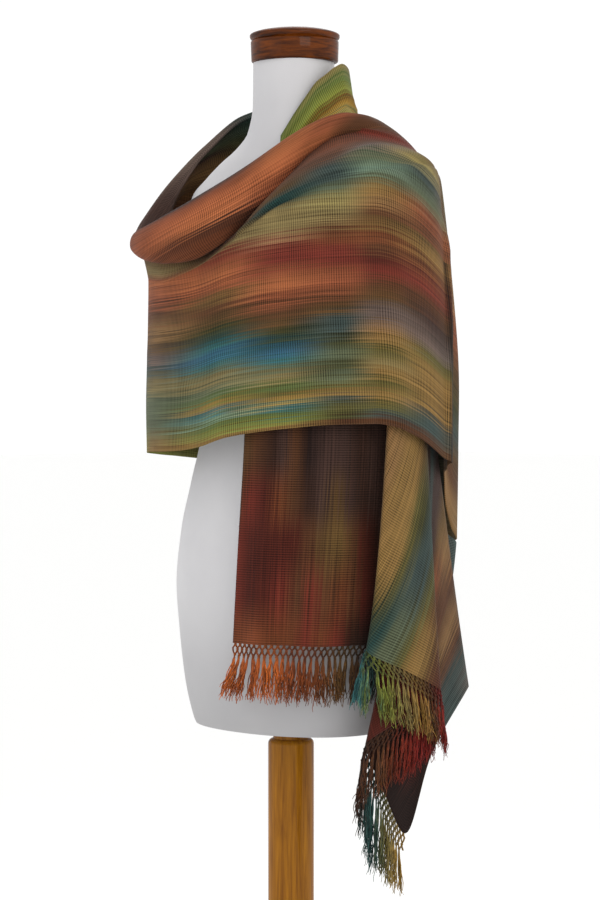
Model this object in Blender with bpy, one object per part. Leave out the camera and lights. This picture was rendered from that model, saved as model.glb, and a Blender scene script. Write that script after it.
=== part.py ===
"""A hand-woven shawl, wrapped once round a dress form that stands on a wooden pole.

Metres, +Z up. The form faces -Y and its left side is +X. The origin is the middle of the base's underside.
A turn is an angle in degrees round the upright axis: 0 is the front, 90 the left side, 180 the back.
"""
import math

import bpy
import numpy as np

# Cloth
WALL = 0.0016
SEAM = 0.0004
NEAR_FRINGE_SEAM = 0.0007
TAIL_FRINGE_SEAM = 0.0014
NEAR_END_TOP = 1.300
WRAP_FALL_TURN = 138.0
WRAP_FALL_ROWS = 8
WAIST_EASE = 0.001
BUST_SHARE = 0.52
BLADE_FOLD_SHARE = 0.45
SEAM_TURN = 0.2
NEAR_END_ROUNDNESS = 2.3

# Dress form and stand
RIM_HEIGHT = 0.738
NECK_TOP = 1.531
NECK_BEHIND_AXIS = 0.0065
TOUCH = 0.0003
BODY_ROUNDNESS = 2.2
POLE_RADIUS = 0.0275
POLE_EDGE = 0.007
BASE_RADIUS = 0.180
BASE_THICK = 0.026
BASE_EDGE = 0.005

# Fringe
STRIP_HEIGHT = 0.006
KNOT_PITCH = 0.0165
KNOT_WIDTH = 0.0052
KNOT_HEIGHT = 0.0035
NET_STEP = 0.0085
STRAND_LENGTH = 0.052
STRAND_LENGTH_VARIES = 0.10
STRAND_SPREAD = 0.46
STRAND_TAPER = (0.8, 0.45)
FRINGE_THICK = 0.0016
FRINGE_PLUMB = 0.65
NEAR_NET_ROWS = 1
NEAR_SWAY = 0.0012
TAIL_NET_ROWS = 2
TAIL_SWAY = 0.0010

# How smooth each piece is: steps in degrees, or counts of sides, columns and rows.
FORM_SIDES = 32
CAP_SIDES = 32
POLE_SIDES = 24
BASE_SIDES = 40
WRAP_STEP = 6.0
WRAP_STEPS = (1, 1, 1, 1, 1, 1, 1, 1, 1, 1, 1, 1, 1, 1, 2, 1, 1)
BACK_STEPS = (1, 1, 3, 2, 2)
TAIL_STEPS = (2, 2, 2, 2, 2, 2, 2, 2, 2, 2, 2, 2, 2, 2, 3)
BACK_STEP = 8.0
NEAR_END_COLUMNS = 19
NEAR_END_ROWS = 13
TAIL_ROWS = 12
SHARP_ANGLE = 50

# Sections of the dress form, from its rim to the top of its neck.
FORM = (
    ("height", "side", "front", "back"),
    (0.738, 0.128, 0.094, 0.098),
    (0.744, 0.131, 0.096, 0.100),
    (0.790, 0.145, 0.102, 0.107),
    (0.850, 0.154, 0.106, 0.113),
    (0.906, 0.159, 0.108, 0.117),
    (0.972, 0.152, 0.103, 0.109),
    (1.030, 0.136, 0.096, 0.094),
    (1.090, 0.120, 0.090, 0.084),
    (1.140, 0.128, 0.104, 0.090),
    (1.195, 0.143, 0.124, 0.099),
    (1.245, 0.152, 0.120, 0.105),
    (1.300, 0.157, 0.098, 0.107),
    (1.340, 0.163, 0.076, 0.103),
    (1.362, 0.166, 0.061, 0.096),
    (1.380, 0.160, 0.053, 0.088),
    (1.398, 0.137, 0.049, 0.078),
    (1.415, 0.110, 0.047, 0.068),
    (1.430, 0.080, 0.045, 0.060),
    (1.448, 0.057, 0.043, 0.055),
    (1.480, 0.0475, 0.041, 0.0545),
    (1.531, 0.0465, 0.041, 0.054),
)

# Turned profile of the neck cap: height above the neck and radius.
CAP = (
    ("rise", "radius"),
    (0.0000, 0.0500),
    (0.0020, 0.0520),
    (0.0240, 0.0528),
    (0.0262, 0.0510),
    (0.0282, 0.0530),
    (0.0320, 0.0540),
    (0.0345, 0.0515),
    (0.0372, 0.0430),
    (0.0396, 0.0290),
    (0.0412, 0.0120),
)

# The front wrap. Distances are from the upright axis: the crest of the rolled edge, the roll's drop, the share
# of the edge tucked in behind it, the chest ring where the cloth leaves the shoulder, the bust, the hem, and the
# height of the second pleat.
WRAP = (
    ("turn", "crest", "crest_height", "roll", "tuck", "chest", "chest_height", "bust", "hem", "hem_height",
     "pleat"),
    (-120, 0.097, 1.490, 0.000, 0.20, 0.165, 1.388, 0.177, 0.178, 1.052, 0.000),
    (-105, 0.125, 1.478, 0.008, 0.20, 0.180, 1.396, 0.187, 0.188, 1.052, 0.000),
    (-90, 0.155, 1.440, 0.014, 0.25, 0.190, 1.384, 0.193, 0.191, 1.056, 0.000),
    (-75, 0.180, 1.388, 0.020, 0.60, 0.186, 1.330, 0.187, 0.187, 1.060, 0.000),
    (-60, 0.184, 1.350, 0.022, 1.00, 0.178, 1.285, 0.179, 0.180, 1.064, 0.000),
    (-45, 0.184, 1.330, 0.024, 1.00, 0.168, 1.268, 0.170, 0.169, 1.066, 0.000),
    (-30, 0.176, 1.335, 0.040, 1.00, 0.157, 1.266, 0.161, 0.160, 1.067, 0.000),
    (-15, 0.156, 1.352, 0.064, 1.00, 0.147, 1.274, 0.153, 0.152, 1.069, 0.000),
    (0, 0.134, 1.374, 0.078, 0.90, 0.139, 1.288, 0.149, 0.148, 1.075, 0.000),
    (15, 0.115, 1.396, 0.073, 0.60, 0.139, 1.308, 0.151, 0.151, 1.085, 0.002),
    (30, 0.102, 1.417, 0.060, 0.40, 0.145, 1.332, 0.157, 0.158, 1.092, 0.008),
    (45, 0.094, 1.435, 0.047, 0.25, 0.155, 1.356, 0.167, 0.169, 1.095, 0.013),
    (60, 0.090, 1.449, 0.034, 0.15, 0.168, 1.376, 0.181, 0.184, 1.095, 0.014),
    (75, 0.090, 1.459, 0.027, 0.10, 0.182, 1.389, 0.194, 0.197, 1.092, 0.013),
    (90, 0.094, 1.464, 0.024, 0.10, 0.189, 1.395, 0.203, 0.205, 1.085, 0.010),
    (103, 0.101, 1.463, 0.015, 0.10, 0.188, 1.397, 0.204, 0.206, 1.071, 0.006),
    (112, 0.107, 1.460, 0.008, 0.10, 0.184, 1.397, 0.198, 0.199, 1.060, 0.002),
    (118, 0.113, 1.456, 0.004, 0.10, 0.180, 1.396, 0.188, 0.189, 1.042, 0.000),
    (123, 0.118, 1.452, 0.000, 0.10, 0.178, 1.394, 0.185, 0.187, 1.010, 0.000),
    (129, 0.125, 1.446, 0.000, 0.10, 0.178, 1.391, 0.192, 0.193, 0.974, 0.000),
    (136, 0.133, 1.437, 0.000, 0.10, 0.178, 1.386, 0.200, 0.199, 0.961, 0.000),
    (144, 0.142, 1.418, 0.000, 0.10, 0.176, 1.370, 0.199, 0.199, 0.9578, 0.000),
    (150, 0.149, 1.378, 0.000, 0.10, 0.172, 1.335, 0.192, 0.194, 0.9575, 0.000),
    (155, 0.156, 1.300, 0.000, 0.10, 0.170, 1.265, 0.184, 0.189, 0.9575, 0.000),
    (159, 0.163, 1.190, 0.000, 0.10, 0.171, 1.165, 0.179, 0.185, 0.9575, 0.000),
    (162, 0.170, 1.040, 0.000, 0.10, 0.173, 1.025, 0.178, 0.182, 0.9575, 0.000),
)

# The inner flap of the wrap, behind its rolled edge: out and up, fixed and by the roll's drop.
TUCK = (
    ("out", "out_by_drop", "up", "up_by_drop"),
    (-0.014, -0.30, -0.012, -0.72),
    (-0.010, -0.24, -0.006, -0.30),
    (-0.003, -0.05, -0.0005, 0.00),
)

# The roll, counted in its drop: down its outside, under, back up behind it and down again.
ROLL = (
    ("out", "up"),
    (0.16, -0.16),
    (0.32, -0.48),
    (0.30, -0.84),
    (0.12, -1.00),
    (0.00, -0.84),
    (-0.07, -0.62),
    (-0.19, -0.78),
)
TUCK_LEAST = 0.0012
ROLL_FROM = 0.006
ROLL_FULL_BY = 0.022

# Where no edge is rolled, the same points lie on a low arch: the first one's share of the way down to the
# chest, the step to the next, and the arch's height.
ARCH_START = 0.08
ARCH_STEP = 0.085
ARCH_HEIGHT = 0.004

# The second pleat between the roll and the chest: a flat fold that stands up and falls in a step.
PLEAT = (
    ("along", "high"),
    (0.36, 0.40),
    (0.60, 1.00),
    (0.86, 1.10),
    (0.93, 0.30),
)

# The back stretch, from the front of the left shoulder round the back to the right one.
BACK = (
    ("turn", "edge", "edge_height", "stand", "root", "root_height", "shoulder", "shoulder_height", "blade",
     "hem", "hem_height"),
    (34, 0.062, 1.438, 0.15, 0.076, 1.394, 0.104, 1.346, 0.121, 0.130, 1.3006),
    (50, 0.059, 1.466, 0.15, 0.073, 1.412, 0.112, 1.362, 0.130, 0.139, 1.3006),
    (65, 0.058, 1.488, 0.15, 0.072, 1.432, 0.130, 1.385, 0.148, 0.153, 1.3006),
    (76, 0.060, 1.503, 0.15, 0.073, 1.440, 0.148, 1.382, 0.164, 0.166, 1.3006),
    (88, 0.061, 1.512, 0.15, 0.075, 1.442, 0.1616, 1.3830, 0.1736, 0.1685, 1.3006),
    (99, 0.064, 1.521, 0.15, 0.078, 1.446, 0.1630, 1.3820, 0.1716, 0.164, 1.120),
    (110, 0.067, 1.526, 0.15, 0.082, 1.449, 0.156, 1.386, 0.162, 0.160, 1.062),
    (125, 0.069, 1.522, 0.15, 0.084, 1.450, 0.141, 1.396, 0.151, 0.156, 1.050),
    (145, 0.070, 1.512, 0.15, 0.084, 1.448, 0.122, 1.397, 0.138, 0.150, 1.046),
    (165, 0.071, 1.504, 0.15, 0.084, 1.446, 0.112, 1.396, 0.131, 0.144, 1.046),
    (180, 0.073, 1.500, 0.14, 0.086, 1.446, 0.112, 1.396, 0.130, 0.142, 1.048),
    (200, 0.080, 1.497, 0.10, 0.094, 1.447, 0.120, 1.394, 0.136, 0.148, 1.050),
    (220, 0.089, 1.494, 0.04, 0.110, 1.448, 0.140, 1.392, 0.154, 0.162, 1.051),
    (240, 0.097, 1.490, -0.06, 0.1275, 1.448, 0.165, 1.388, 0.177, 0.178, 1.052),
)

# Soft upright folds of the back stretch: where, how wide, and how far they stand out at the hem.
BACK_FOLDS = (
    ("turn", "width", "height"),
    (128, 7, 0.005),
    (144, 8, -0.004),
    (166, 10, 0.007),
    (186, 8, -0.004),
    (206, 9, 0.006),
    (224, 7, -0.003),
)

# The near end hangs from the chest: its two long edges, and its distance in front and at the side.
NEAR_END = (
    ("height", "inner_turn", "outer_turn", "front", "side", "wave"),
    (1.2996, 22.5, 80.0, 0.1295, 0.1685, 0.000),
    (1.240, 22.5, 80.0, 0.136, 0.1685, 0.001),
    (1.190, 22.0, 80.0, 0.137, 0.168, 0.002),
    (1.090, 21.0, 80.0, 0.137, 0.167, 0.003),
    (0.960, 17.0, 80.0, 0.133, 0.167, 0.004),
    (0.848, 13.0, 80.0, 0.130, 0.167, 0.005),
)

# Folds of the near end: where across it, how wide, and how high against the others.
NEAR_FOLDS = (
    ("across", "width", "height"),
    (0.20, 0.09, 0.6),
    (0.42, 0.07, -0.8),
    (0.63, 0.08, 1.0),
    (0.86, 0.07, -0.7),
)

# The tail, folded on itself: each line runs from under the wrap down to the end, through a middle point.
TAIL = (
    ("line", "top_turn", "top", "top_height", "middle_turn", "middle", "middle_height", "end_turn", "end",
     "end_height"),
    ("long edge", 113, 0.176, 1.140, 122.5, 0.193, 0.945, 129.5, 0.213, 0.786),
    ("right of corner", 108, 0.178, 1.140, 111.0, 0.189, 0.900, 111.0, 0.197, 0.706),
    ("corner", 104, 0.180, 1.140, 102.0, 0.185, 0.880, 92.5, 0.180, 0.628),
    ("left of corner", 97, 0.180, 1.140, 91.0, 0.184, 0.900, 82.5, 0.178, 0.676),
    ("inner fold, behind", 91, 0.180, 1.140, 85.5, 0.183, 0.930, 74.0, 0.177, 0.735),
    ("inner fold, in front", 91, 0.186, 1.140, 85.5, 0.189, 0.930, 74.0, 0.184, 0.741),
    ("middle of second layer", 94, 0.186, 1.140, 92.0, 0.191, 0.935, 88.0, 0.191, 0.764),
    ("right fold, behind", 98, 0.187, 1.140, 100.5, 0.193, 0.950, 103.0, 0.199, 0.786),
    ("right fold, in front", 98, 0.193, 1.140, 100.5, 0.199, 0.950, 103.0, 0.205, 0.790),
    ("middle of front layer", 91, 0.193, 1.140, 89.0, 0.198, 0.950, 87.0, 0.201, 0.818),
    ("left fold, in front", 82, 0.191, 1.140, 77.0, 0.194, 0.960, 72.5, 0.192, 0.842),
    ("left fold, behind", 86, 0.174, 1.140, 81.0, 0.177, 0.960, 75.5, 0.176, 0.850),
    ("back layer", 100, 0.172, 1.130, 100.0, 0.176, 0.970, 100.0, 0.177, 0.866),
    ("back layer, turning", 118, 0.176, 0.990, 117.0, 0.178, 0.925, 117.0, 0.180, 0.878),
    ("back layer, far", 134, 0.198, 0.957, 132.0, 0.194, 0.920, 131.0, 0.189, 0.888),
    ("back edge", 161.5, 0.183, 0.957, 160.0, 0.182, 0.925, 159.0, 0.181, 0.900),
)
TAIL_CORNER_LINE = 2

COLOURS = {
    "torso": (0.62, 0.61, 0.60),
    "neck_cap": (0.16, 0.045, 0.015),
    "pole": (0.42, 0.19, 0.035),
    "base": (0.40, 0.18, 0.035),
    "near_end": (0.14, 0.035, 0.02),
    "back_stretch": (0.24, 0.25, 0.05),
    "front_wrap": (0.33, 0.12, 0.03),
    "tail": (0.17, 0.14, 0.05),
    "near_fringe": (0.36, 0.09, 0.03),
    "tail_fringe": (0.15, 0.14, 0.03),
}


def column(table, name):
    """One named column of a table, without its heading."""
    place = table[0].index(name)
    return np.array([row[place] for row in table[1:]], dtype=float)


def follow(table, key, name, at):
    """A smooth value of a column at some place along another, with no overshoot."""
    x, y = column(table, key), column(table, name)
    at = np.clip(np.asarray(at, dtype=float), x[0], x[-1])
    step = np.diff(x)
    slope = np.diff(y) / step
    bend = np.zeros(len(x))
    bend[0], bend[-1] = slope[0], slope[-1]
    rising = slope[:-1] * slope[1:] > 0
    both = slope[:-1] + slope[1:]
    bend[1:-1] = np.where(rising, 2 * slope[:-1] * slope[1:] / np.where(both == 0, 1, both), 0)
    i = np.clip(np.searchsorted(x, at, side="right") - 1, 0, len(x) - 2)
    t = (at - x[i]) / step[i]
    return (
        (2 * t**3 - 3 * t**2 + 1) * y[i]
        + (t**3 - 2 * t**2 + t) * step[i] * bend[i]
        + (3 * t**2 - 2 * t**3) * y[i + 1]
        + (t**3 - t**2) * step[i] * bend[i + 1]
    )


def through(keys, at):
    """A smooth curve through key points, read at places counted in keys."""
    keys = np.asarray(keys, dtype=float)
    gap = np.sqrt(np.maximum(np.linalg.norm(np.diff(keys, axis=0), axis=1), 1e-6))
    knots = np.concatenate([[0], np.cumsum(gap)])
    slope = np.diff(keys, axis=0) / gap[:, None]
    bend = np.empty_like(keys)
    bend[0], bend[-1] = slope[0], slope[-1]
    before, after = gap[:-1, None], gap[1:, None]
    bend[1:-1] = (slope[:-1] * after + slope[1:] * before) / (before + after)
    i = np.clip(np.floor(at).astype(int), 0, len(keys) - 2)
    t = (at - i)[:, None]
    span = (knots[i + 1] - knots[i])[:, None]
    return (
        (2 * t**3 - 3 * t**2 + 1) * keys[i]
        + (t**3 - 2 * t**2 + t) * span * bend[i]
        + (3 * t**2 - 2 * t**3) * keys[i + 1]
        + (t**3 - t**2) * span * bend[i + 1]
    )


def places(counts):
    """Sample places along a curve, with a number of steps for each stretch between keys."""
    out = [0.0]
    for i, count in enumerate(counts):
        out += [i + (k + 1) / count for k in range(count)]
    return np.array(out)


def around(turn, distance, height):
    """A point from its turn, its distance from the upright axis and its height."""
    a = np.radians(turn)
    return np.stack(np.broadcast_arrays(distance * np.sin(a), -distance * np.cos(a), height), axis=-1)


def oval(turn, side, front, back, roundness=BODY_ROUNDNESS):
    """Distance from the axis to an oval with its own reach in front, at the sides and behind."""
    a = np.radians(turn)
    c = np.cos(a)
    depth = np.where(c > 0, front, back)
    return (np.abs(np.sin(a) / side) ** roundness + np.abs(c / depth) ** roundness) ** (-1 / roundness)


def material(name):
    """A plain finish of the node's own colour."""
    m = bpy.data.materials.new(name)
    m.use_nodes = True
    shader = m.node_tree.nodes["Principled BSDF"]
    wood = name in ("neck_cap", "pole", "base")
    shader.inputs["Base Color"].default_value = (*COLOURS[name], 1.0)
    shader.inputs["Roughness"].default_value = 0.25 if wood else 0.85
    shader.inputs["Metallic"].default_value = 0.0
    return m


def solid(name, points, faces):
    """A named object from points and faces, turned so that its faces point out."""
    mesh = bpy.data.meshes.new(name)
    mesh.from_pydata([tuple(float(v) for v in p) for p in points], [], faces)
    mesh.materials.append(material(name))
    volume = 0.0
    for f in faces:
        for k in range(1, len(f) - 1):
            a, b, c = points[f[0]], points[f[k]], points[f[k + 1]]
            volume += float(np.dot(a, np.cross(b, c)))
    if volume < 0:
        mesh.flip_normals()
    mesh.shade_smooth()
    mesh.set_sharp_from_angle(angle=math.radians(SHARP_ANGLE))
    piece = bpy.data.objects.new(name, mesh)
    bpy.context.scene.collection.objects.link(piece)
    return piece


def plate(name, points, normals, quads, thickness):
    """A wall of even thickness over a sheet of quads, closed along every free edge."""
    count = len(points)
    both = np.concatenate([points + normals * thickness / 2, points - normals * thickness / 2])
    faces = []
    edges = {}
    for q in quads:
        faces.append(tuple(q))
        faces.append(tuple(count + i for i in reversed(q)))
        for a, b in zip(q, q[1:] + q[:1]):
            edges[(a, b)] = edges.get((a, b), 0) + 1
    for a, b in edges:
        if (b, a) not in edges:
            faces.append((b, a, count + a, count + b))
    return solid(name, both, faces)


def sheet_normals(grid):
    """Unit normals of a grid of points."""
    along = np.gradient(grid, axis=0)
    across = np.gradient(grid, axis=1)
    n = np.cross(along, across)
    return n / np.maximum(np.linalg.norm(n, axis=2, keepdims=True), 1e-9)


def wall(name, grid, thickness=WALL):
    """A cloth wall whose middle is a grid of points."""
    rows, cols = grid.shape[:2]
    quads = [
        (r * cols + c, (r + 1) * cols + c, (r + 1) * cols + c + 1, r * cols + c + 1)
        for r in range(rows - 1)
        for c in range(cols - 1)
    ]
    return plate(name, grid.reshape(-1, 3), sheet_normals(grid).reshape(-1, 3), quads, thickness)


def ring_faces(rings, sides):
    """Faces over a stack of rings, closed flat at both ends."""
    faces = []
    for r in range(rings - 1):
        for k in range(sides):
            j = (k + 1) % sides
            faces.append((r * sides + k, r * sides + j, (r + 1) * sides + j, (r + 1) * sides + k))
    faces.append(tuple(reversed(range(sides))))
    faces.append(tuple(range((rings - 1) * sides, rings * sides)))
    return faces


def turned(name, profile, sides, behind=0.0):
    """A round solid from a profile of radius and height, its middle moved back from the axis where asked."""
    turns = np.arange(sides) * 360 / sides
    rings = [around(turns, radius, height) + (0, behind, 0) for radius, height in profile]
    return solid(name, np.concatenate(rings), ring_faces(len(rings), sides))


def make_form():
    """The padded torso, with a flat underside at its rim and a flat top on its neck."""
    turns = np.arange(FORM_SIDES) * 360 / FORM_SIDES
    rings = [around(turns, oval(turns, side, front, back), z) for z, side, front, back in FORM[1:]]
    return solid("torso", np.concatenate(rings), ring_faces(len(rings), FORM_SIDES))


def make_stand():
    """Neck cap, pole and base."""
    seat = NECK_TOP + TOUCH
    turned("neck_cap", [(radius, seat + rise) for rise, radius in CAP[1:]], CAP_SIDES, NECK_BEHIND_AXIS)
    foot = BASE_THICK + TOUCH
    top = RIM_HEIGHT - TOUCH
    round_off = 0.3 * POLE_EDGE
    pole = [
        (POLE_RADIUS, foot),
        (POLE_RADIUS, top - POLE_EDGE),
        (POLE_RADIUS - round_off, top - round_off),
        (POLE_RADIUS - POLE_EDGE, top),
    ]
    turned("pole", pole, POLE_SIDES)
    base = [(BASE_RADIUS, 0.0), (BASE_RADIUS, BASE_THICK - BASE_EDGE), (BASE_RADIUS - BASE_EDGE, BASE_THICK)]
    turned("base", base, BASE_SIDES)


def ease(x):
    """From 0 to 1, level at both ends."""
    x = np.clip(x, 0, 1)
    return x * x * (3 - 2 * x)


def wrap_section(turn):
    """Key points of the front wrap at one turn, as distance and height, from the inner edge to the hem."""
    names = WRAP[0][1:]
    v = {n: float(follow(WRAP, "turn", n, turn)) for n in names}
    crest = np.array([v["crest"], v["crest_height"]])
    chest = np.array([v["chest"], v["chest_height"]])
    hem = np.array([v["hem"], v["hem_height"]])
    drop, tuck = v["roll"], v["tuck"]
    rolled = float(ease((drop - ROLL_FROM) / ROLL_FULL_BY))
    down = chest - crest
    keys = []
    for k, (out, out_by_drop, up, up_by_drop) in enumerate(TUCK[1:]):
        least = TUCK_LEAST * (2 - k)
        inward, upward = tuck * (out + out_by_drop * drop), tuck * (up + up_by_drop * drop)
        keys.append(crest + (inward - least, upward - least))
    for k, (out, up) in enumerate(ROLL[1:]):
        arch = ARCH_HEIGHT * math.sin(math.pi * (k + 1) / len(ROLL))
        flat = crest + down * (ARCH_START + ARCH_STEP * k) + (0.0, arch)
        bent = crest + (out * drop, up * drop)
        keys.append(rolled * bent + (1 - rolled) * flat)
    start = keys[-1]
    span = chest - start
    out = np.array([-span[1], span[0]]) / np.linalg.norm(span)
    if out[1] < 0:
        out = -out
    for along, high in PLEAT[1:]:
        keys.append(start + span * along + out * (high * v["pleat"]))
    keys.append(chest)
    bust = np.array([v["bust"], hem[1] + BUST_SHARE * (chest[1] - hem[1])])
    keys += [bust, 0.5 * (bust + hem) + (WAIST_EASE, 0), hem]
    return keys


def make_front_wrap():
    """The wrap with its rolled edge and second pleat."""
    turns = column(WRAP, "turn")
    at = places(WRAP_STEPS)
    first, last = turns[0] + SEAM_TURN, turns[-1]
    rows = []
    shoulder = np.linspace(first, WRAP_FALL_TURN, int(round((WRAP_FALL_TURN - first) / WRAP_STEP)) + 1)
    for turn in np.concatenate([shoulder, np.linspace(WRAP_FALL_TURN, last, WRAP_FALL_ROWS + 1)[1:]]):
        section = through(wrap_section(turn), at)
        rows.append(around(turn, section[:, 0], section[:, 1]))
    return wall("front_wrap", np.array(rows))


def back_section(turn):
    """Key points of the back stretch at one turn, from its collar edge to its hem."""
    v = {n: float(follow(BACK, "turn", n, turn)) for n in BACK[0][1:]}
    blade_height = v["hem_height"] + BUST_SHARE * (v["shoulder_height"] - v["hem_height"])
    rise = v["edge_height"] - v["root_height"]
    fold = sum(high * math.exp(-(((turn - at) / width) ** 2)) for at, width, high in BACK_FOLDS[1:])
    return [
        (v["edge"], v["edge_height"]),
        (0.5 * (v["edge"] + v["root"]), 0.5 * (v["edge_height"] + v["root_height"]) - v["stand"] * rise),
        (v["root"], v["root_height"]),
        (v["shoulder"], v["shoulder_height"]),
        (v["blade"] + BLADE_FOLD_SHARE * fold, blade_height),
        (v["hem"] + fold, v["hem_height"]),
    ]


def make_back_stretch():
    """The stretch over the left shoulder and round the back."""
    turns = column(BACK, "turn")
    at = places(BACK_STEPS)
    first, last = turns[0], turns[-1] - SEAM_TURN
    rows = []
    for turn in np.linspace(first, last, int(round((last - first) / BACK_STEP)) + 1):
        section = through(back_section(turn), at)
        rows.append(around(turn, section[:, 0], section[:, 1]))
    return wall("back_stretch", np.array(rows))


def near_end_row(height, across):
    """Points across the near end at one height, from its inner edge round to the side."""
    v = {n: float(follow(NEAR_END[:1] + NEAR_END[:0:-1], "height", n, height)) for n in NEAR_END[0][1:]}
    turn = v["inner_turn"] + (v["outer_turn"] - v["inner_turn"]) * across
    distance = oval(turn, v["side"], v["front"], v["front"], NEAR_END_ROUNDNESS)
    for place, width, high in NEAR_FOLDS[1:]:
        distance = distance + v["wave"] * high * np.exp(-(((across - place) / width) ** 2))
    return around(turn, distance, height)


def make_near_end():
    """The first end, hanging in front."""
    across = np.linspace(0, 1, NEAR_END_COLUMNS)
    heights = np.linspace(NEAR_END_TOP - SEAM, float(column(NEAR_END, "height")[-1]), NEAR_END_ROWS)
    grid = np.array([near_end_row(z, across) for z in heights])
    wall("near_end", grid)
    return grid


def make_tail():
    """The second end, folded on itself at the left side: columns across its folds, rows down to its end."""
    rows = TAIL[1:]
    at = places(TAIL_STEPS)
    top = through([around(*r[1:4]) for r in rows], at)
    middle = through([around(*r[4:7]) for r in rows], at)
    end = through([around(*r[7:10]) for r in rows], at)
    grid = []
    for t in np.linspace(0, 1, TAIL_ROWS):
        a, b, c = 2 * (t - 0.5) * (t - 1), 4 * t * (1 - t), 2 * t * (t - 0.5)
        grid.append(a * top + b * middle + c * end)
    grid = np.array(grid)
    wall("tail", grid)
    return grid


def line_reader(points):
    """Reads a polyline at a distance along it: the place, and its direction there."""
    length = np.concatenate([[0], np.cumsum(np.linalg.norm(np.diff(points, axis=0), axis=1))])

    def read(at):
        return np.array([np.interp(at, length, points[:, k]) for k in range(3)])

    return read, float(length[-1])


def make_fringe(name, edge, above, seam, net_rows, sway):
    """A strip parted from the cloth's edge, a knotted net below it and two strands from each last knot."""
    read, length = line_reader(edge)
    read_above, length_above = line_reader(above)
    count = int(length / KNOT_PITCH)
    pitch = length / count
    depth = depth_of_strip = seam + STRIP_HEIGHT
    half = KNOT_WIDTH / 2
    offsets = (-half, 0.0, half)
    points, normals, quads = [], [], []

    def add(at, below, lean=0.0, out=0.0):
        at = min(max(at, 0.0), length)
        here = read(at)
        down = here - read_above(at * length_above / length)
        down = down / np.linalg.norm(down)
        side = read(min(at + half, length)) - read(max(at - half, 0.0))
        side = side / np.linalg.norm(side)
        n = np.cross(side, down)
        n = n / np.linalg.norm(n)
        hang = down * (1 - FRINGE_PLUMB) + np.array([0, 0, -1.0]) * FRINGE_PLUMB
        hang = hang / np.linalg.norm(hang)
        way = hang if below > depth_of_strip else down
        points.append(here + way * below + side * lean + n * out)
        normals.append(n)
        return len(points) - 1

    centres = [(k + 0.5) * pitch for k in range(count)]
    # The strip, with points at each knot's sides and middle.
    upper, lower = [], []
    left = (add(0.0, seam), add(0.0, depth))
    for c in centres:
        upper.append([add(c + o, seam) for o in offsets])
        lower.append([add(c + o, depth) for o in offsets])
    last = (add(length, seam), add(length, depth))
    for u, w in zip(upper, lower):
        quads.append((left[0], left[1], w[0], u[0]))
        quads.append((u[0], w[0], w[1], u[1]))
        quads.append((u[1], w[1], w[2], u[2]))
        left = (u[2], w[2])
    quads.append((left[0], left[1], last[1], last[0]))
    # The net: from each knot two strands slant to the knots below and between.
    for _ in range(net_rows):
        centres = [c + pitch / 2 for c in centres[:-1]]
        depth += NET_STEP
        tops = [[add(c + o, depth) for o in offsets] for c in centres]
        feet = [[add(c + o, depth + KNOT_HEIGHT) for o in offsets] for c in centres]
        depth += KNOT_HEIGHT
        for k, (t, f) in enumerate(zip(tops, feet)):
            a, b = lower[k], lower[k + 1]
            quads.append((a[1], t[0], t[1], a[2]))
            quads.append((b[0], t[1], t[2], b[1]))
            quads.append((t[0], f[0], f[1], t[1]))
            quads.append((t[1], f[1], f[2], t[2]))
        lower = feet
    # The strands: two from each last knot, swaying apart to their tips.
    middle_width, tip_width = (half * share for share in STRAND_TAPER)
    for k, (c, f) in enumerate(zip(centres, lower)):
        for side, (a, b) in enumerate(((f[0], f[1]), (f[1], f[2]))):
            centre = c + (side - 0.5) * pitch * STRAND_SPREAD
            phase = 2.4 * k + 1.3 * side
            lean = sway * math.sin(phase)
            reach = STRAND_LENGTH * (1 + STRAND_LENGTH_VARIES * math.sin(1.7 * phase + 0.4))
            push = 0.4 * sway * math.sin(0.8 * phase + 1.0)
            mid, tip = depth + reach * 0.45, depth + reach
            m = [add(centre + s * middle_width / 2, mid, 0.5 * lean, 0.5 * push) for s in (-1, 1)]
            e = [add(centre + s * tip_width / 2, tip, lean, push) for s in (-1, 1)]
            quads.append((a, m[0], m[1], b))
            quads.append((m[0], e[0], e[1], m[1]))
    plate(name, np.array(points), np.array(normals), quads, FRINGE_THICK)


def build():
    """Everything, from an empty scene."""
    for o in list(bpy.data.objects):
        bpy.data.objects.remove(o)
    make_form()
    make_stand()
    make_back_stretch()
    make_front_wrap()
    near = make_near_end()
    make_fringe("near_fringe", near[-1], near[-2], NEAR_FRINGE_SEAM, NEAR_NET_ROWS, NEAR_SWAY)
    tail = make_tail()
    corner = sum(TAIL_STEPS[:TAIL_CORNER_LINE])
    edge, above = tail[-1, corner:], tail[-2, corner:]
    make_fringe("tail_fringe", edge, above, TAIL_FRINGE_SEAM, TAIL_NET_ROWS, TAIL_SWAY)


build()
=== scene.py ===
# The looks of a hand-woven shawl on a dress form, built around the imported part.
# Metres, +Z up. The form faces -Y and its left side is +X.
# A turn is an angle in degrees round the upright axis: 0 is the front, 90 the left side, 180 the back.
import math

import bpy
import numpy as np
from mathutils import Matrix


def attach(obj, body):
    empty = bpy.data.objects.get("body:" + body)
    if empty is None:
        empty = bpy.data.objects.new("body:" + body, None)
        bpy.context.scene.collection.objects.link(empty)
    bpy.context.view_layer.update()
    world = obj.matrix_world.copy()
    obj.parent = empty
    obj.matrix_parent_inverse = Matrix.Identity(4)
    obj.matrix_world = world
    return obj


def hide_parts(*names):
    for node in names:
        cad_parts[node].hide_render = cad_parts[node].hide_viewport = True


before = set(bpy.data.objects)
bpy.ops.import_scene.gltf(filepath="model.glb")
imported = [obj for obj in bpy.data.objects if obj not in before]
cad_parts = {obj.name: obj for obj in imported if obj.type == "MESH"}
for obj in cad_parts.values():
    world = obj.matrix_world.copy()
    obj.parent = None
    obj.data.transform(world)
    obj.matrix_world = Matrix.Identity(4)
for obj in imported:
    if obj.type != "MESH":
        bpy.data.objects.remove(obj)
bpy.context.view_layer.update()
print("frame loaded")


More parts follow.
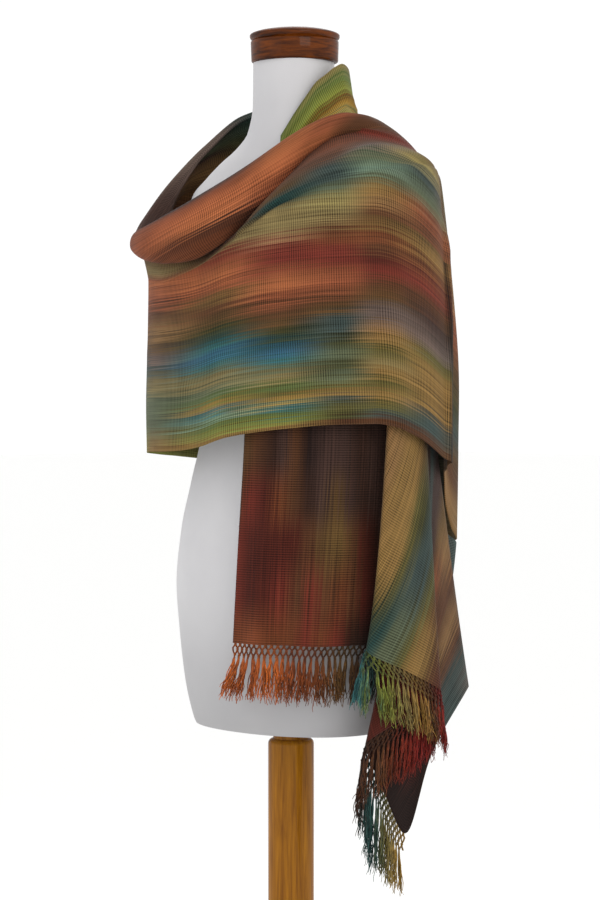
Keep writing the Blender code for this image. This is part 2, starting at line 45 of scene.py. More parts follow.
# Small tools for tables and curves

def column(table, name):
    place = table[0].index(name)
    return np.array([row[place] for row in table[1:]], dtype=float)


def blend(t, span, start, end, startSlope, endSlope):  # a smooth step between two values with given slopes
    return (
        (2 * t**3 - 3 * t**2 + 1) * start
        + (t**3 - 2 * t**2 + t) * span * startSlope
        + (3 * t**2 - 2 * t**3) * end
        + (t**3 - t**2) * span * endSlope
    )


def follow(table, key, name, at):  # a smooth value of a column along another, with no overshoot
    x, y = column(table, key), column(table, name)
    if x[0] > x[-1]:
        x, y = x[::-1], y[::-1]
    at = np.clip(np.asarray(at, dtype=float), x[0], x[-1])
    step = np.diff(x)
    slope = np.diff(y) / step
    bend = np.zeros(len(x))
    bend[0], bend[-1] = slope[0], slope[-1]
    rising = slope[:-1] * slope[1:] > 0
    both = slope[:-1] + slope[1:]
    bend[1:-1] = np.where(rising, 2 * slope[:-1] * slope[1:] / np.where(both == 0, 1, both), 0)
    i = np.clip(np.searchsorted(x, at, side="right") - 1, 0, len(x) - 2)
    t = (at - x[i]) / step[i]
    return blend(t, step[i], y[i], y[i + 1], bend[i], bend[i + 1])


def readRow(table, at):  # every column of a table at a value of its first one
    key = table[0][0]
    return {name: float(follow(table, key, name, at)) for name in table[0][1:]}


def through(keys, at):  # a smooth curve through key points, read at places counted in keys
    keys = np.asarray(keys, dtype=float)
    gap = np.sqrt(np.maximum(np.linalg.norm(np.diff(keys, axis=0), axis=1), 1e-6))
    slope = np.diff(keys, axis=0) / gap[:, None]
    bend = np.empty_like(keys)
    bend[0], bend[-1] = slope[0], slope[-1]
    before, after = gap[:-1, None], gap[1:, None]
    bend[1:-1] = (slope[:-1] * after + slope[1:] * before) / (before + after)
    i = np.clip(np.floor(at).astype(int), 0, len(keys) - 2)
    t = (at - i)[:, None]
    span = gap[i][:, None]
    return blend(t, span, keys[i], keys[i + 1], bend[i], bend[i + 1])


def places(counts):  # sample places along a curve, with a number of steps for each stretch between keys
    out = [0.0]
    for i, count in enumerate(counts):
        out += [i + (k + 1) / count for k in range(count)]
    return np.array(out)


def around(turn, distance, height):
    a = np.radians(turn)
    return np.stack(np.broadcast_arrays(distance * np.sin(a), -distance * np.cos(a), height), axis=-1)


def oval(turn, side, front, back, roundness):
    a = np.radians(turn)
    c = np.cos(a)
    depth = np.where(c > 0, front, back)
    return (np.abs(np.sin(a) / side) ** roundness + np.abs(c / depth) ** roundness) ** (-1 / roundness)


def ease(x):  # from 0 to 1, level at both ends
    x = np.clip(x, 0, 1)
    return x * x * (3 - 2 * x)


def runLength(points, axis=0):  # distance covered along one axis of a grid, starting at 0
    step = np.linalg.norm(np.diff(points, axis=axis), axis=-1)
    start = np.zeros_like(np.take(step, [0], axis=axis))
    return np.concatenate([start, np.cumsum(step, axis=axis)], axis=axis)


# Small tools for meshes and node trees

def linear(code):  # an sRGB hex colour as linear red, green, blue and alpha
    parts = [int(code[i:i + 2], 16) / 255 for i in (1, 3, 5)]
    return (*[c / 12.92 if c <= 0.04045 else ((c + 0.055) / 1.055) ** 2.4 for c in parts], 1.0)


def addNode(tree, kind, settings=None, links=None):  # a node with its properties, and its inputs set or linked
    node = tree.nodes.new(kind)
    for name, value in (settings or {}).items():
        setattr(node, name, value)
    for name, value in (links or {}).items():
        socket = node.inputs[name]
        if isinstance(value, bpy.types.NodeSocket):
            tree.links.new(value, socket)
        else:
            socket.default_value = value
    return node


def newMaterial(name):
    material = bpy.data.materials.new(name)
    material.use_nodes = True
    material.node_tree.nodes.clear()
    return material


def addPiece(name, points, faces, material, smooth=True):
    mesh = bpy.data.meshes.new(name)
    mesh.from_pydata([tuple(map(float, p)) for p in points], [], faces)
    mesh.materials.append(material)
    if smooth:
        mesh.shade_smooth()
    piece = bpy.data.objects.new(name, mesh)
    bpy.context.scene.collection.objects.link(piece)
    return piece


def sheetNormals(grid):
    n = np.cross(np.gradient(grid, axis=0), np.gradient(grid, axis=1))
    return n / np.maximum(np.linalg.norm(n, axis=2, keepdims=True), 1e-9)


# A thin closed shell over a grid of points. Its UV map is in metres of flat cloth, across its width and along it.
def clothShell(name, grid, flat, thickness, material):
    rows, cols = grid.shape[:2]
    normals = sheetNormals(grid)
    outer, inner = grid + normals * thickness / 2, grid - normals * thickness / 2
    points = np.concatenate([outer.reshape(-1, 3), inner.reshape(-1, 3)])
    count = rows * cols
    index = np.arange(count).reshape(rows, cols)
    a, b, c, d = index[:-1, :-1], index[1:, :-1], index[1:, 1:], index[:-1, 1:]
    front = np.stack([a, b, c, d], axis=-1).reshape(-1, 4)
    back = front[:, ::-1] + count
    rim = np.concatenate([index[0, :], index[1:, -1], index[-1, -2::-1], index[-2::-1, 0]])
    edge = np.stack([rim[:-1], rim[1:], rim[1:] + count, rim[:-1] + count], axis=-1)
    faces = np.concatenate([front, back, edge])
    piece = addPiece(name, points, faces.tolist(), material)
    uv = np.concatenate([flat.reshape(-1, 2)] * 2)
    layer = piece.data.uv_layers.new(name="cloth")
    layer.data.foreach_set("uv", uv[faces.reshape(-1)].astype(np.float32).reshape(-1))
    return piece


# Soft folds laid on a grid of cloth: each follows a short path given in flat cloth, across and along.
def layFolds(grid, flat, folds):
    out = grid.copy()
    normals = sheetNormals(grid)
    for fold in folds:
        path = np.array(fold["path"], dtype=float)
        nearest = np.full(grid.shape[:2], 1e9)
        where = np.zeros(grid.shape[:2])
        for k in range(len(path) - 1):
            start, way = path[k], path[k + 1] - path[k]
            t = np.clip(((flat - start) @ way) / (way @ way), 0, 1)
            off = np.linalg.norm(flat - start - t[..., None] * way, axis=-1)
            where = np.where(off < nearest, (k + t) / (len(path) - 1), where)
            nearest = np.minimum(nearest, off)
        fade = ease(where / 0.25 + fold.get("startFull", 0)) * ease((1 - where) / 0.25 + fold.get("endFull", 0))
        out += normals * (fold["height"] * fade * np.exp(-((nearest / fold["width"]) ** 2)))[..., None]
    return out


# The camera stands where the photograph's stood: the form's front left, level with its chest.
camera = {"distance": 3.0, "turn": 45.0, "targetHeight": 1.068, "lift": 1.5, "aside": 0.0108, "lens": 66.67,
          "sensor": 24}


def makeCamera():
    a, e = math.radians(camera["turn"]), math.radians(camera["lift"])
    aside = camera["aside"]
    target = np.array([aside * math.cos(a), aside * math.sin(a), camera["targetHeight"]])
    back = np.array([math.sin(a) * math.cos(e), -math.cos(a) * math.cos(e), math.sin(e)])
    data = bpy.data.cameras.new("camera")
    data.sensor_fit = "VERTICAL"
    data.sensor_height = camera["sensor"]
    data.lens = camera["lens"]
    eye = bpy.data.objects.new("camera", data)
    eye.location = target + back * camera["distance"]
    eye.rotation_euler = (math.radians(90) - e, 0, a)
    bpy.context.scene.collection.objects.link(eye)
    bpy.context.scene.camera = eye


studio = {
    "floorColour": "#FAFAF9",
    "floorSize": 60.0,
    "worldColour": "#FFFFFF",
    "worldStrength": 1.04,
    "aimHeight": 1.1,
    "lights": (
        ("name", "turn", "distance", "height", "width", "power", "colour"),
        ("key light", 72, 2.6, 2.4, 1.3, 16, "#FFF8F0"),
        ("fill light", -8, 3.0, 1.7, 1.8, 4, "#F2F6FF"),
        ("back light", 215, 2.8, 2.3, 1.4, 10, "#FFFFFF"),
    ),
}


def makeStudio():
    half = studio["floorSize"] / 2
    material = newMaterial("pale painted floor")  # matt and even
    tree = material.node_tree
    paint = {"Base Color": linear(studio["floorColour"]), "Roughness": 0.9}
    shader = addNode(tree, "ShaderNodeBsdfPrincipled", {}, paint)
    addNode(tree, "ShaderNodeOutputMaterial", {}, {"Surface": shader.outputs["BSDF"]})
    corners = [(-half, -half, 0), (half, -half, 0), (half, half, 0), (-half, half, 0)]
    floor = addPiece("floor", corners, [(0, 1, 2, 3)], material, smooth=False)
    world = bpy.data.worlds.new("soft studio")
    world.use_nodes = True
    bpy.context.scene.world = world
    sky = world.node_tree.nodes["Background"]
    sky.inputs["Color"].default_value = linear(studio["worldColour"])
    sky.inputs["Strength"].default_value = studio["worldStrength"]
    for name, turn, distance, height, width, power, colour in studio["lights"][1:]:
        data = bpy.data.lights.new(name, "AREA")
        data.size = width
        data.energy = power
        data.color = linear(colour)[:3]
        lamp = bpy.data.objects.new(name, data)
        place = around(turn, distance, height)
        aim = np.array([0, 0, studio["aimHeight"]]) - place
        a = math.atan2(aim[0], -aim[1])
        e = math.atan2(-aim[2], math.hypot(aim[0], aim[1]))
        lamp.location = place
        lamp.rotation_euler = (math.radians(90) - e, 0, a + math.pi)
        bpy.context.scene.collection.objects.link(lamp)
    bpy.context.scene.view_settings.view_transform = "Standard"


# Yarn dyes of the shawl.
dyes = {
    "gold tan": "#A27C3C",
    "gold": "#B48A35",
    "lime": "#949840",
    "leaf green": "#66783E",
    "teal": "#3A787A",
    "blue": "#386E8C",
    "slate": "#4A5A56",
    "dark teal": "#2C504C",
    "sea green": "#86A38A",
    "green grey": "#6C7658",
    "olive": "#6D6631",
    "dark olive": "#4A4A26",
    "olive brown": "#6A4C26",
    "brown": "#6A4022",
    "dark brown": "#40261A",
    "rust": "#A0522A",
    "bright orange": "#D87438",
    "orange": "#C06A32",
    "burgundy": "#86301E",
    "dark red": "#5E2214",
    "crimson": "#842620",
    "plum": "#503830",
    "dark plum": "#2A1A16",
    "mauve": "#7A665C",
    "tan": "#A27844",
    "khaki": "#988450",
    "rose": "#A6704A",
    "straw": "#A89858",
    "russet": "#80421E",
    "tawny": "#80602E",
}


def chart(text):  # stripes as listed: millimetres across the cloth, and the dye there
    marks = [mark.strip().split(" ", 1) for mark in text.split(",")]
    return [(float(place) / 1000, dye) for place, dye in marks]


# Woven cotton and rayon, plain weave with a strong weft rib: warp yarns dyed in long stretches, so each stripe
# changes colour slowly along the cloth, with feathered threads. Matt, with a faint sheen on the ribs and painted
# shade between them.
weave = {
    "ribPitch": 0.0028,  # between two weft ribs
    "threadPitch": 0.0011,  # between two warp yarns
    "ribHeight": 0.00026,
    "threadHeight": 0.00012,
    "feather": 0.008,  # how far single yarns stray from their stripe
    "wander": 0.006,  # how far a whole stripe wanders
    "blend": 0.010,  # how far single yarns change colour early or late
    "gapShade": 0.26,  # painted shade between two ribs, as a share of the dye
    "yarnChange": 8.0,  # changes of tone in a metre of one yarn
    "strands": (400.0, 5.0),  # groups of yarns in a metre across, and their changes in a metre along
    "drifts": (7.0, 3.0),  # the same for the wander of a stripe
    "patches": 25.0,  # in a metre, where the painted shade between ribs is stronger or weaker
    "strandShade": 0.7,
    "yarnShade": 0.8,
    "strandHeight": 0.0004,
    "bump": 0.8,
    "roughness": 0.82,
    "sheen": 0.05,
}


def dyeRamp(tree, factor, text, width):  # the dyes of a chart as a colour ramp over its width
    ramp = addNode(tree, "ShaderNodeValToRGB", {}, {"Fac": factor})
    stops, marks = ramp.color_ramp.elements, chart(text)
    while len(stops) < len(marks):
        stops.new(1.0)
    for stop, (place, dye) in zip(stops, marks):
        stop.position = min(max(place / width, 0.0), 1.0)
        stop.color = linear(dyes[dye])
    return ramp.outputs["Color"]


def wovenCloth(name, cloth, stations, paintedCreaseShades=()):
    material = newMaterial(name)
    tree = material.node_tree

    def maths(operation, a, b=0.0, c=0.0):
        return addNode(tree, "ShaderNodeMath", {"operation": operation}, {0: a, 1: b, 2: c}).outputs[0]

    def noise(across, along, acrossScale, alongScale, detail=0.0):
        x, y = maths("MULTIPLY", across, acrossScale), maths("MULTIPLY", along, alongScale)
        at = addNode(tree, "ShaderNodeCombineXYZ", {}, {"X": x, "Y": y, "Z": cloth["seed"]})
        made = addNode(tree, "ShaderNodeTexNoise", {},
                       {"Vector": at.outputs[0], "Scale": 1.0, "Detail": detail})
        return maths("SUBTRACT", made.outputs[0], 0.5)

    place = addNode(tree, "ShaderNodeUVMap", {"uv_map": "cloth"})
    split = addNode(tree, "ShaderNodeSeparateXYZ", {}, {"Vector": place.outputs[0]})
    across, along = split.outputs["X"], split.outputs["Y"]

    yarn = noise(across, along, 1 / weave["threadPitch"], weave["yarnChange"])
    strand = noise(across, along, *weave["strands"], 1.0)
    drift = noise(across, along, *weave["drifts"], 1.0)
    shift = maths("MULTIPLY", yarn, 2 * weave["feather"])
    shift = maths("MULTIPLY_ADD", strand, 3.0 * weave["feather"], shift)
    shift = maths("MULTIPLY_ADD", drift, 2.0 * weave["wander"], shift)
    stripe = maths("DIVIDE", maths("ADD", across, shift), cloth["chartWidth"])
    reach = maths("MULTIPLY_ADD", strand, 3.0 * weave["blend"], along)
    reach = maths("MULTIPLY_ADD", yarn, 1.5 * weave["blend"], reach)

    colour, last = None, None
    for at, text in stations:
        striped = dyeRamp(tree, stripe, text, cloth["chartWidth"])
        if colour is None:
            colour = striped
        else:
            share = addNode(tree, "ShaderNodeMapRange", {"interpolation_type": "SMOOTHSTEP"},
                            {"Value": reach, "From Min": last, "From Max": at})
            colour = addNode(tree, "ShaderNodeMix", {"data_type": "RGBA"},
                             {0: share.outputs[0], 6: colour, 7: striped}).outputs[2]
        last = at

    rib = maths("SINE", maths("MULTIPLY", along, 2 * math.pi / weave["ribPitch"]))
    rib = maths("MULTIPLY_ADD", rib, 0.5, 0.5)
    thread = maths("SINE", maths("MULTIPLY", across, 2 * math.pi / weave["threadPitch"]))
    thread = maths("MULTIPLY_ADD", thread, 0.5, 0.5)
    # Painted shade in the hollows between the weft ribs, stronger in some patches than in others.
    patchy = maths("MULTIPLY_ADD", noise(across, along, weave["patches"], weave["patches"], 2.0), 1.2, 0.72)
    patchy = maths("MINIMUM", maths("MAXIMUM", patchy, 0.3), 1.0)
    gap = maths("MULTIPLY", maths("SUBTRACT", 1.0, rib), patchy)
    shade = maths("MULTIPLY_ADD", gap, weave["gapShade"] - 1.0, 1.0)
    shade = maths("MULTIPLY_ADD", strand, weave["strandShade"], shade)
    shade = maths("MULTIPLY_ADD", yarn, weave["yarnShade"], shade)
    # Painted shade in creases: each darkens a narrow line at one place along the cloth, below a given height across
    # it.
    for crease in paintedCreaseShades:
        off = maths("ABSOLUTE", maths("SUBTRACT", along, crease["along"]))
        close = maths("MINIMUM", maths("DIVIDE", off, crease["width"]), 1.0)
        line = maths("MULTIPLY_ADD", close, crease["shade"], 1.0 - crease["shade"])
        low = maths("LESS_THAN", across, crease["top"])
        shade = maths("MULTIPLY", shade, maths("MULTIPLY_ADD", maths("SUBTRACT", line, 1.0), low, 1.0))
    tone = {"Saturation": cloth["strength"], "Value": cloth["depth"], "Color": colour}
    dyed = addNode(tree, "ShaderNodeHueSaturation", {}, tone)
    shaded = addNode(tree, "ShaderNodeVectorMath", {"operation": "SCALE"},
                     {0: dyed.outputs[0], "Scale": shade})

    height = maths("MULTIPLY", rib, weave["ribHeight"])
    height = maths("MULTIPLY_ADD", thread, weave["threadHeight"], height)
    height = maths("MULTIPLY_ADD", strand, weave["strandHeight"], height)
    bump = addNode(tree, "ShaderNodeBump", {}, {"Height": height, "Distance": 1.0, "Strength": weave["bump"]})
    shader = addNode(tree, "ShaderNodeBsdfPrincipled", {}, {
        "Base Color": shaded.outputs[0], "Roughness": weave["roughness"], "Sheen Weight": weave["sheen"],
        "Sheen Roughness": 0.45, "Normal": bump.outputs[0], "Specular IOR Level": 0.12})
    addNode(tree, "ShaderNodeOutputMaterial", {}, {"Surface": shader.outputs["BSDF"]})
    return material


# The front wrap: its table gives, at each turn, the distance and height of the rolled edge's crest, the roll's drop,
# the share tucked in, the chest, the bust, the hem and the second pleat's height.
wrapTable = (
    ("turn", "crest", "crestHeight", "roll", "tuck", "chest", "chestHeight", "bust", "hem", "hemHeight", "pleat"),
    (-120, 0.097, 1.490, 0.000, 0.20, 0.165, 1.388, 0.177, 0.178, 1.052, 0.000),
    (-105, 0.125, 1.478, 0.008, 0.20, 0.180, 1.396, 0.187, 0.188, 1.052, 0.000),
    (-90, 0.155, 1.440, 0.014, 0.25, 0.190, 1.384, 0.193, 0.191, 1.056, 0.000),
    (-75, 0.180, 1.388, 0.020, 0.60, 0.186, 1.330, 0.187, 0.187, 1.060, 0.000),
    (-60, 0.184, 1.350, 0.022, 1.00, 0.178, 1.285, 0.179, 0.180, 1.064, 0.000),
    (-45, 0.184, 1.330, 0.024, 1.00, 0.168, 1.268, 0.170, 0.169, 1.066, 0.000),
    (-30, 0.176, 1.335, 0.040, 1.00, 0.157, 1.266, 0.161, 0.160, 1.067, 0.000),
    (-15, 0.156, 1.352, 0.064, 1.00, 0.147, 1.274, 0.153, 0.152, 1.069, 0.000),
    (0, 0.134, 1.374, 0.078, 0.90, 0.139, 1.288, 0.149, 0.148, 1.075, 0.000),
    (15, 0.115, 1.396, 0.073, 0.60, 0.139, 1.308, 0.151, 0.151, 1.085, 0.002),
    (30, 0.102, 1.417, 0.060, 0.40, 0.145, 1.332, 0.157, 0.158, 1.092, 0.008),
    (45, 0.094, 1.435, 0.047, 0.25, 0.155, 1.356, 0.167, 0.169, 1.097, 0.013),
    (60, 0.090, 1.449, 0.034, 0.15, 0.168, 1.376, 0.181, 0.184, 1.101, 0.014),
    (75, 0.090, 1.459, 0.027, 0.10, 0.182, 1.389, 0.194, 0.197, 1.102, 0.013),
    (90, 0.094, 1.464, 0.024, 0.10, 0.189, 1.395, 0.203, 0.205, 1.087, 0.010),
    (103, 0.101, 1.463, 0.015, 0.10, 0.188, 1.397, 0.204, 0.206, 1.064, 0.006),
    (112, 0.107, 1.460, 0.008, 0.10, 0.184, 1.397, 0.198, 0.199, 1.049, 0.002),
    (118, 0.113, 1.456, 0.004, 0.10, 0.180, 1.396, 0.188, 0.189, 1.042, 0.000),
    (123, 0.118, 1.452, 0.000, 0.10, 0.178, 1.394, 0.185, 0.187, 1.010, 0.000),
    (129, 0.125, 1.446, 0.000, 0.10, 0.178, 1.391, 0.192, 0.193, 0.974, 0.000),
    (136, 0.133, 1.437, 0.000, 0.10, 0.178, 1.386, 0.200, 0.199, 0.961, 0.000),
    (144, 0.142, 1.418, 0.000, 0.10, 0.176, 1.370, 0.199, 0.199, 0.9578, 0.000),
    (150, 0.149, 1.378, 0.000, 0.10, 0.172, 1.335, 0.192, 0.194, 0.9575, 0.000),
    (155, 0.156, 1.300, 0.000, 0.10, 0.170, 1.265, 0.184, 0.189, 0.9575, 0.000),
    (159, 0.163, 1.190, 0.000, 0.10, 0.171, 1.165, 0.179, 0.185, 0.9575, 0.000),
    (162, 0.170, 1.040, 0.000, 0.10, 0.173, 1.025, 0.178, 0.182, 0.9575, 0.000),
)
wrap = {
    "firstTurn": -119.8,
    "turnStep": 1.25,
    "steps": (3, 3, 3, 4, 5, 6, 6, 5, 4, 4, 4, 5, 5, 3, 26, 13, 12),  # between the 18 keys of a section
    "thickness": 0.0013,
    "rollAt": 0.36,  # flat cloth, up from the hem: where the roll starts, and its crest
    "crestAt": 0.48,
    "cut": (0.53, 0.92),
    "chartWidth": 0.56, "seed": 1.0, "strength": 0.94, "depth": 0.76,  # the dyes' strength and depth
}
tuckKeys = ((-0.014, -0.30, -0.012, -0.72), (-0.010, -0.24, -0.006, -0.30), (-0.003, -0.05, -0.0005, 0.0))
rollKeys = ((0.16, -0.16), (0.32, -0.48), (0.30, -0.84), (0.12, -1.0), (0.0, -0.84), (-0.07, -0.62),
            (-0.19, -0.78))
pleatKeys = ((0.36, 0.40), (0.60, 1.00), (0.86, 1.10), (0.93, 0.30))
rollShape = {"from": 0.006, "fullBy": 0.022, "archStart": 0.08, "archStep": 0.085, "archHeight": 0.004,
             "tuckLeast": 0.0012, "lowKey": 3, "bustShare": 0.52, "waistEase": 0.001}


def wrapSection(turn):
    v = readRow(wrapTable, turn)
    crest = np.array([v["crest"], v["crestHeight"]])
    chest = np.array([v["chest"], v["chestHeight"]])
    hem = np.array([v["hem"], v["hemHeight"]])
    drop, tuck = v["roll"], v["tuck"]
    rolled = float(ease((drop - rollShape["from"]) / rollShape["fullBy"]))
    down = chest - crest
    keys = []
    for k, (out, outByDrop, up, upByDrop) in enumerate(tuckKeys):
        least = rollShape["tuckLeast"] * (2 - k)
        inward, upward = tuck * (out + outByDrop * drop), tuck * (up + upByDrop * drop)
        keys.append(crest + (inward - least, upward - least))
    for k, (out, up) in enumerate(rollKeys):
        arch = rollShape["archHeight"] * math.sin(math.pi * (k + 1) / (len(rollKeys) + 1))
        flat = crest + down * (rollShape["archStart"] + rollShape["archStep"] * k) + (0.0, arch)
        keys.append(rolled * (crest + (out * drop, up * drop)) + (1 - rolled) * flat)
    start = keys[-1]
    span = chest - start
    out = np.array([-span[1], span[0]]) / np.linalg.norm(span)
    if out[1] < 0:
        out = -out
    for along, high in pleatKeys:
        keys.append(start + span * along + out * (high * v["pleat"]))
    keys.append(chest)
    bust = np.array([v["bust"], hem[1] + rollShape["bustShare"] * (chest[1] - hem[1])])
    return keys + [bust, 0.5 * (bust + hem) + (rollShape["waistEase"], 0), hem]


wrapStations = (  # along the cloth from the form's middle; the first three and the last are out of sight
    (-0.42, "10 olive brown, 50 olive, 100 dark teal, 160 brown, 220 rust, 280 olive, 340 gold tan, "
            "400 olive, 440 dark olive, 490 dark teal"),
    (-0.33, "10 olive, 50 green grey, 90 dark teal, 140 olive brown, 200 rust, 310 brown, 360 tan, "
            "410 plum, 450 green grey, 490 mauve"),
    (-0.20, "10 lime, 30 leaf green, 60 green grey, 100 dark teal, 130 brown, 170 rust, 210 orange, "
            "280 brown, 430 russet, 490 plum"),
    (-0.10, "3 gold tan, 12 khaki, 30 green grey, 60 green grey, 80 khaki, 98 slate, 110 mauve, "
            "125 olive brown, 145 tan, 162 brown, 180 rust, 205 orange, 235 orange, 260 rust, 310 khaki, "
            "380 brown, 425 russet, 450 rust, 475 rust, 492 dark plum"),
    # In this station and the next two, the dark brown at 425 to 432 mm across is painted shade in the crease under
    # the roll.
    (0.03, "2 gold tan, 9 lime, 20 leaf green, 29 sea green, 35 teal, 42 gold, 50 leaf green, "
           "60 green grey, 72 khaki, 82 green grey, 90 teal, 99 blue, 108 teal, 117 dark teal, "
           "129 dark olive, 141 olive brown, 153 brown, 165 tawny, 177 rust, 189 orange, 202 rust, "
           "213 burgundy, 228 khaki, 300 brown, 360 brown, 420 russet, 432 dark brown, 441 orange, "
           "458 bright orange, 476 rust, 492 plum"),
    (0.12, "2 gold tan, 8 lime, 16 leaf green, 22 teal, 28 straw, 34 gold, 40 olive, 50 leaf green, "
           "61 khaki, 70 green grey, 79 teal, 88 blue, 97 dark teal, 108 dark olive, 120 olive brown, "
           "135 brown, 150 rust, 163 orange, 176 rust, 188 burgundy, 203 burgundy, 214 rose, 228 khaki, "
           "252 khaki, 268 dark teal, 292 dark teal, 310 olive brown, 335 brown, 425 dark brown, 438 rust, "
           "458 bright orange, 480 orange"),
    (0.19, "3 brown, 10 dark olive, 20 olive, 30 slate, 36 gold tan, 45 olive, 56 green grey, "
           "67 dark olive, 80 green grey, 93 dark olive, 106 slate, 118 slate, 128 olive brown, 140 brown, "
           "155 rust, 169 rust, 180 burgundy, 196 burgundy, 209 russet, 222 brown, 240 khaki, 256 straw, "
           "270 green grey, 288 slate, 312 slate, 332 brown, 360 russet, 425 dark brown, 442 rust, "
           "460 orange, 480 rust"),
    (0.235, "4 brown, 12 slate, 22 olive, 35 gold tan, 46 olive, 59 gold tan, 70 khaki, 82 olive, "
            "95 gold tan, 107 tan, 119 mauve, 129 mauve, 141 olive brown, 156 brown, 170 burgundy, "
            "182 dark red, 196 brown, 212 russet, 226 tawny, 240 brown, 253 tan, 267 gold tan, "
            "281 green grey, 301 sea green, 320 green grey, 336 mauve, 352 brown, 385 burgundy, 460 brown"),
    (0.31, "2 brown, 14 slate, 30 slate, 42 gold tan, 62 gold tan, 85 gold tan, 100 olive, 116 mauve, "
           "140 plum, 160 brown, 178 burgundy, 196 russet, 222 gold tan, 242 brown, 262 rust, "
           "286 green grey, 310 slate, 335 straw, 362 brown, 400 burgundy, 460 brown"),
    (0.44, "0 tan, 30 tan, 60 brown, 90 olive brown, 120 slate, 150 dark olive, 190 olive brown, 240 rust, "
           "285 tan, 340 brown, 400 olive, 460 rust"),
    (0.62, "0 olive, 70 dark teal, 150 olive brown, 190 rust, 240 tan, 290 khaki, 340 leaf green, "
           "400 dark teal, 460 brown"),
)
wrapFolds = (  # each fold's path in flat cloth, across and along
    {"name": "ridge over the left side", "path": ((-0.01, 0.231), (0.07, 0.231), (0.17, 0.238)), "width": 0.007,
     "height": 0.0050, "startFull": 1},
    {"name": "hollow before the ridge", "path": ((0.0, 0.208), (0.10, 0.210), (0.20, 0.215)), "width": 0.011,
     "height": -0.0035, "startFull": 1},
    {"name": "hollow behind the ridge", "path": ((0.0, 0.258), (0.12, 0.258), (0.21, 0.262)), "width": 0.012,
     "height": -0.0030, "startFull": 1},
    {"name": "valley before the far side", "path": ((-0.01, 0.352), (0.10, 0.350), (0.24, 0.362), (0.31, 0.372)),
     "width": 0.007, "height": -0.0075, "startFull": 1},
    {"name": "crease along the roll", "path": ((0.450, -0.05), (0.436, -0.02), (0.425, 0.0), (0.430, 0.05),
     (0.432, 0.10), (0.430, 0.16), (0.426, 0.22)), "width": 0.009, "height": -0.0055},
    {"name": "under the roll", "path": ((0.262, 0.06), (0.285, 0.10), (0.291, 0.15), (0.314, 0.205), (0.328, 0.235),
                                        (0.345, 0.28)), "width": 0.0085, "height": -0.0060, "startFull": 1},
    {"name": "second pleat", "path": ((0.262, 0.10), (0.266, 0.14), (0.280, 0.20), (0.292, 0.235), (0.315, 0.29)),
     "width": 0.0085, "height": 0.0042},
    {"name": "below the second pleat", "path": ((0.245, 0.08), (0.249, 0.14), (0.262, 0.20), (0.274, 0.235),
                                                (0.295, 0.29)), "width": 0.008, "height": -0.0030},
    {"name": "gather over the shoulder", "path": ((0.300, 0.20), (0.305, 0.26), (0.290, 0.31)), "width": 0.006,
     "height": 0.0026},
    {"name": "bust swell", "path": ((0.10, 0.02), (0.16, 0.09)), "width": 0.06, "height": 0.003},
    {"name": "soft pull to the shoulder", "path": ((0.12, 0.10), (0.19, 0.16), (0.25, 0.24)), "width": 0.012,
     "height": 0.0022},
    {"name": "hollow under the pull", "path": ((0.08, 0.11), (0.15, 0.18), (0.21, 0.25)), "width": 0.014,
     "height": -0.002},
    {"name": "left hem swell", "path": ((-0.01, -0.02), (0.09, -0.01)), "width": 0.022, "height": 0.003,
     "startFull": 1},
    {"name": "left hem hollow", "path": ((-0.01, 0.045), (0.10, 0.05)), "width": 0.02, "height": -0.0025,
     "startFull": 1},
    {"name": "right side trough", "path": ((-0.01, -0.19), (0.12, -0.19), (0.24, -0.21)), "width": 0.016,
     "height": -0.004, "startFull": 1},
    {"name": "right side ridge", "path": ((-0.01, -0.25), (0.10, -0.25), (0.22, -0.26)), "width": 0.018,
     "height": 0.004, "startFull": 1},
)


def wrapGrid():
    at = places(wrap["steps"])
    turns = np.arange(wrap["firstTurn"], wrapTable[-1][0] + 0.5 * wrap["turnStep"], wrap["turnStep"])
    turns[-1] = wrapTable[-1][0]
    sections = np.array([through(wrapSection(turn), at) for turn in turns])
    grid = around(turns[:, None], sections[..., 0], sections[..., 1])
    crest = len(tuckKeys)
    pleat = crest + len(rollKeys)
    chest = pleat + len(pleatKeys)
    down = runLength(grid, axis=1)
    low = crest + rollShape["lowKey"]
    spots = {name: down[:, np.searchsorted(at, key)][:, None]
             for name, key in (("crest", crest), ("low", low), ("chest", chest))}
    share = np.broadcast_to(at, down.shape)
    up = down[:, -1:] - down  # up from the hem, along the cloth
    rolled = wrap["crestAt"] - (down - spots["crest"])
    rollLow = wrap["crestAt"] - (spots["low"] - spots["crest"])
    upChest = down[:, -1:] - spots["chest"]
    under = rollLow + (wrap["rollAt"] - rollLow) * (share - low) / (pleat - low)
    pleated = wrap["rollAt"] + (upChest - wrap["rollAt"]) * (share - pleat) / (chest - pleat)
    across = np.where(share >= chest, up, pleated)
    across = np.where(share < pleat, under, across)
    across = np.where(share < low, rolled, across)
    along = runLength(grid, axis=0)
    middle = np.array([np.interp(0.0, turns, along[:, j]) for j in range(along.shape[1])])
    return grid, np.stack([across, along - middle], axis=-1)


def makeFrontWrap():
    grid, flat = wrapGrid()
    grid = layFolds(grid, flat, wrapFolds)
    # The crease lines below are painted shade; the widest darkens the valley before the far side.
    material = wovenCloth("hand-woven cloth of the wrap", wrap, wrapStations, paintedCreaseShades=(
        {"along": -0.035, "width": 0.0016, "shade": 0.16, "top": 0.150},
        {"along": -0.030, "width": 0.0010, "shade": 0.12, "top": 0.150},
        {"along": 0.170, "width": 0.0014, "shade": 0.14, "top": 0.170},
        {"along": 0.352, "width": 0.0075, "shade": 0.80, "top": 0.235},
    ))
    piece = clothShell("wrapCloth", grid, flat, wrap["thickness"], material)
    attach(piece, "root")
    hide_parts("front_wrap")
    print("front wrap made")


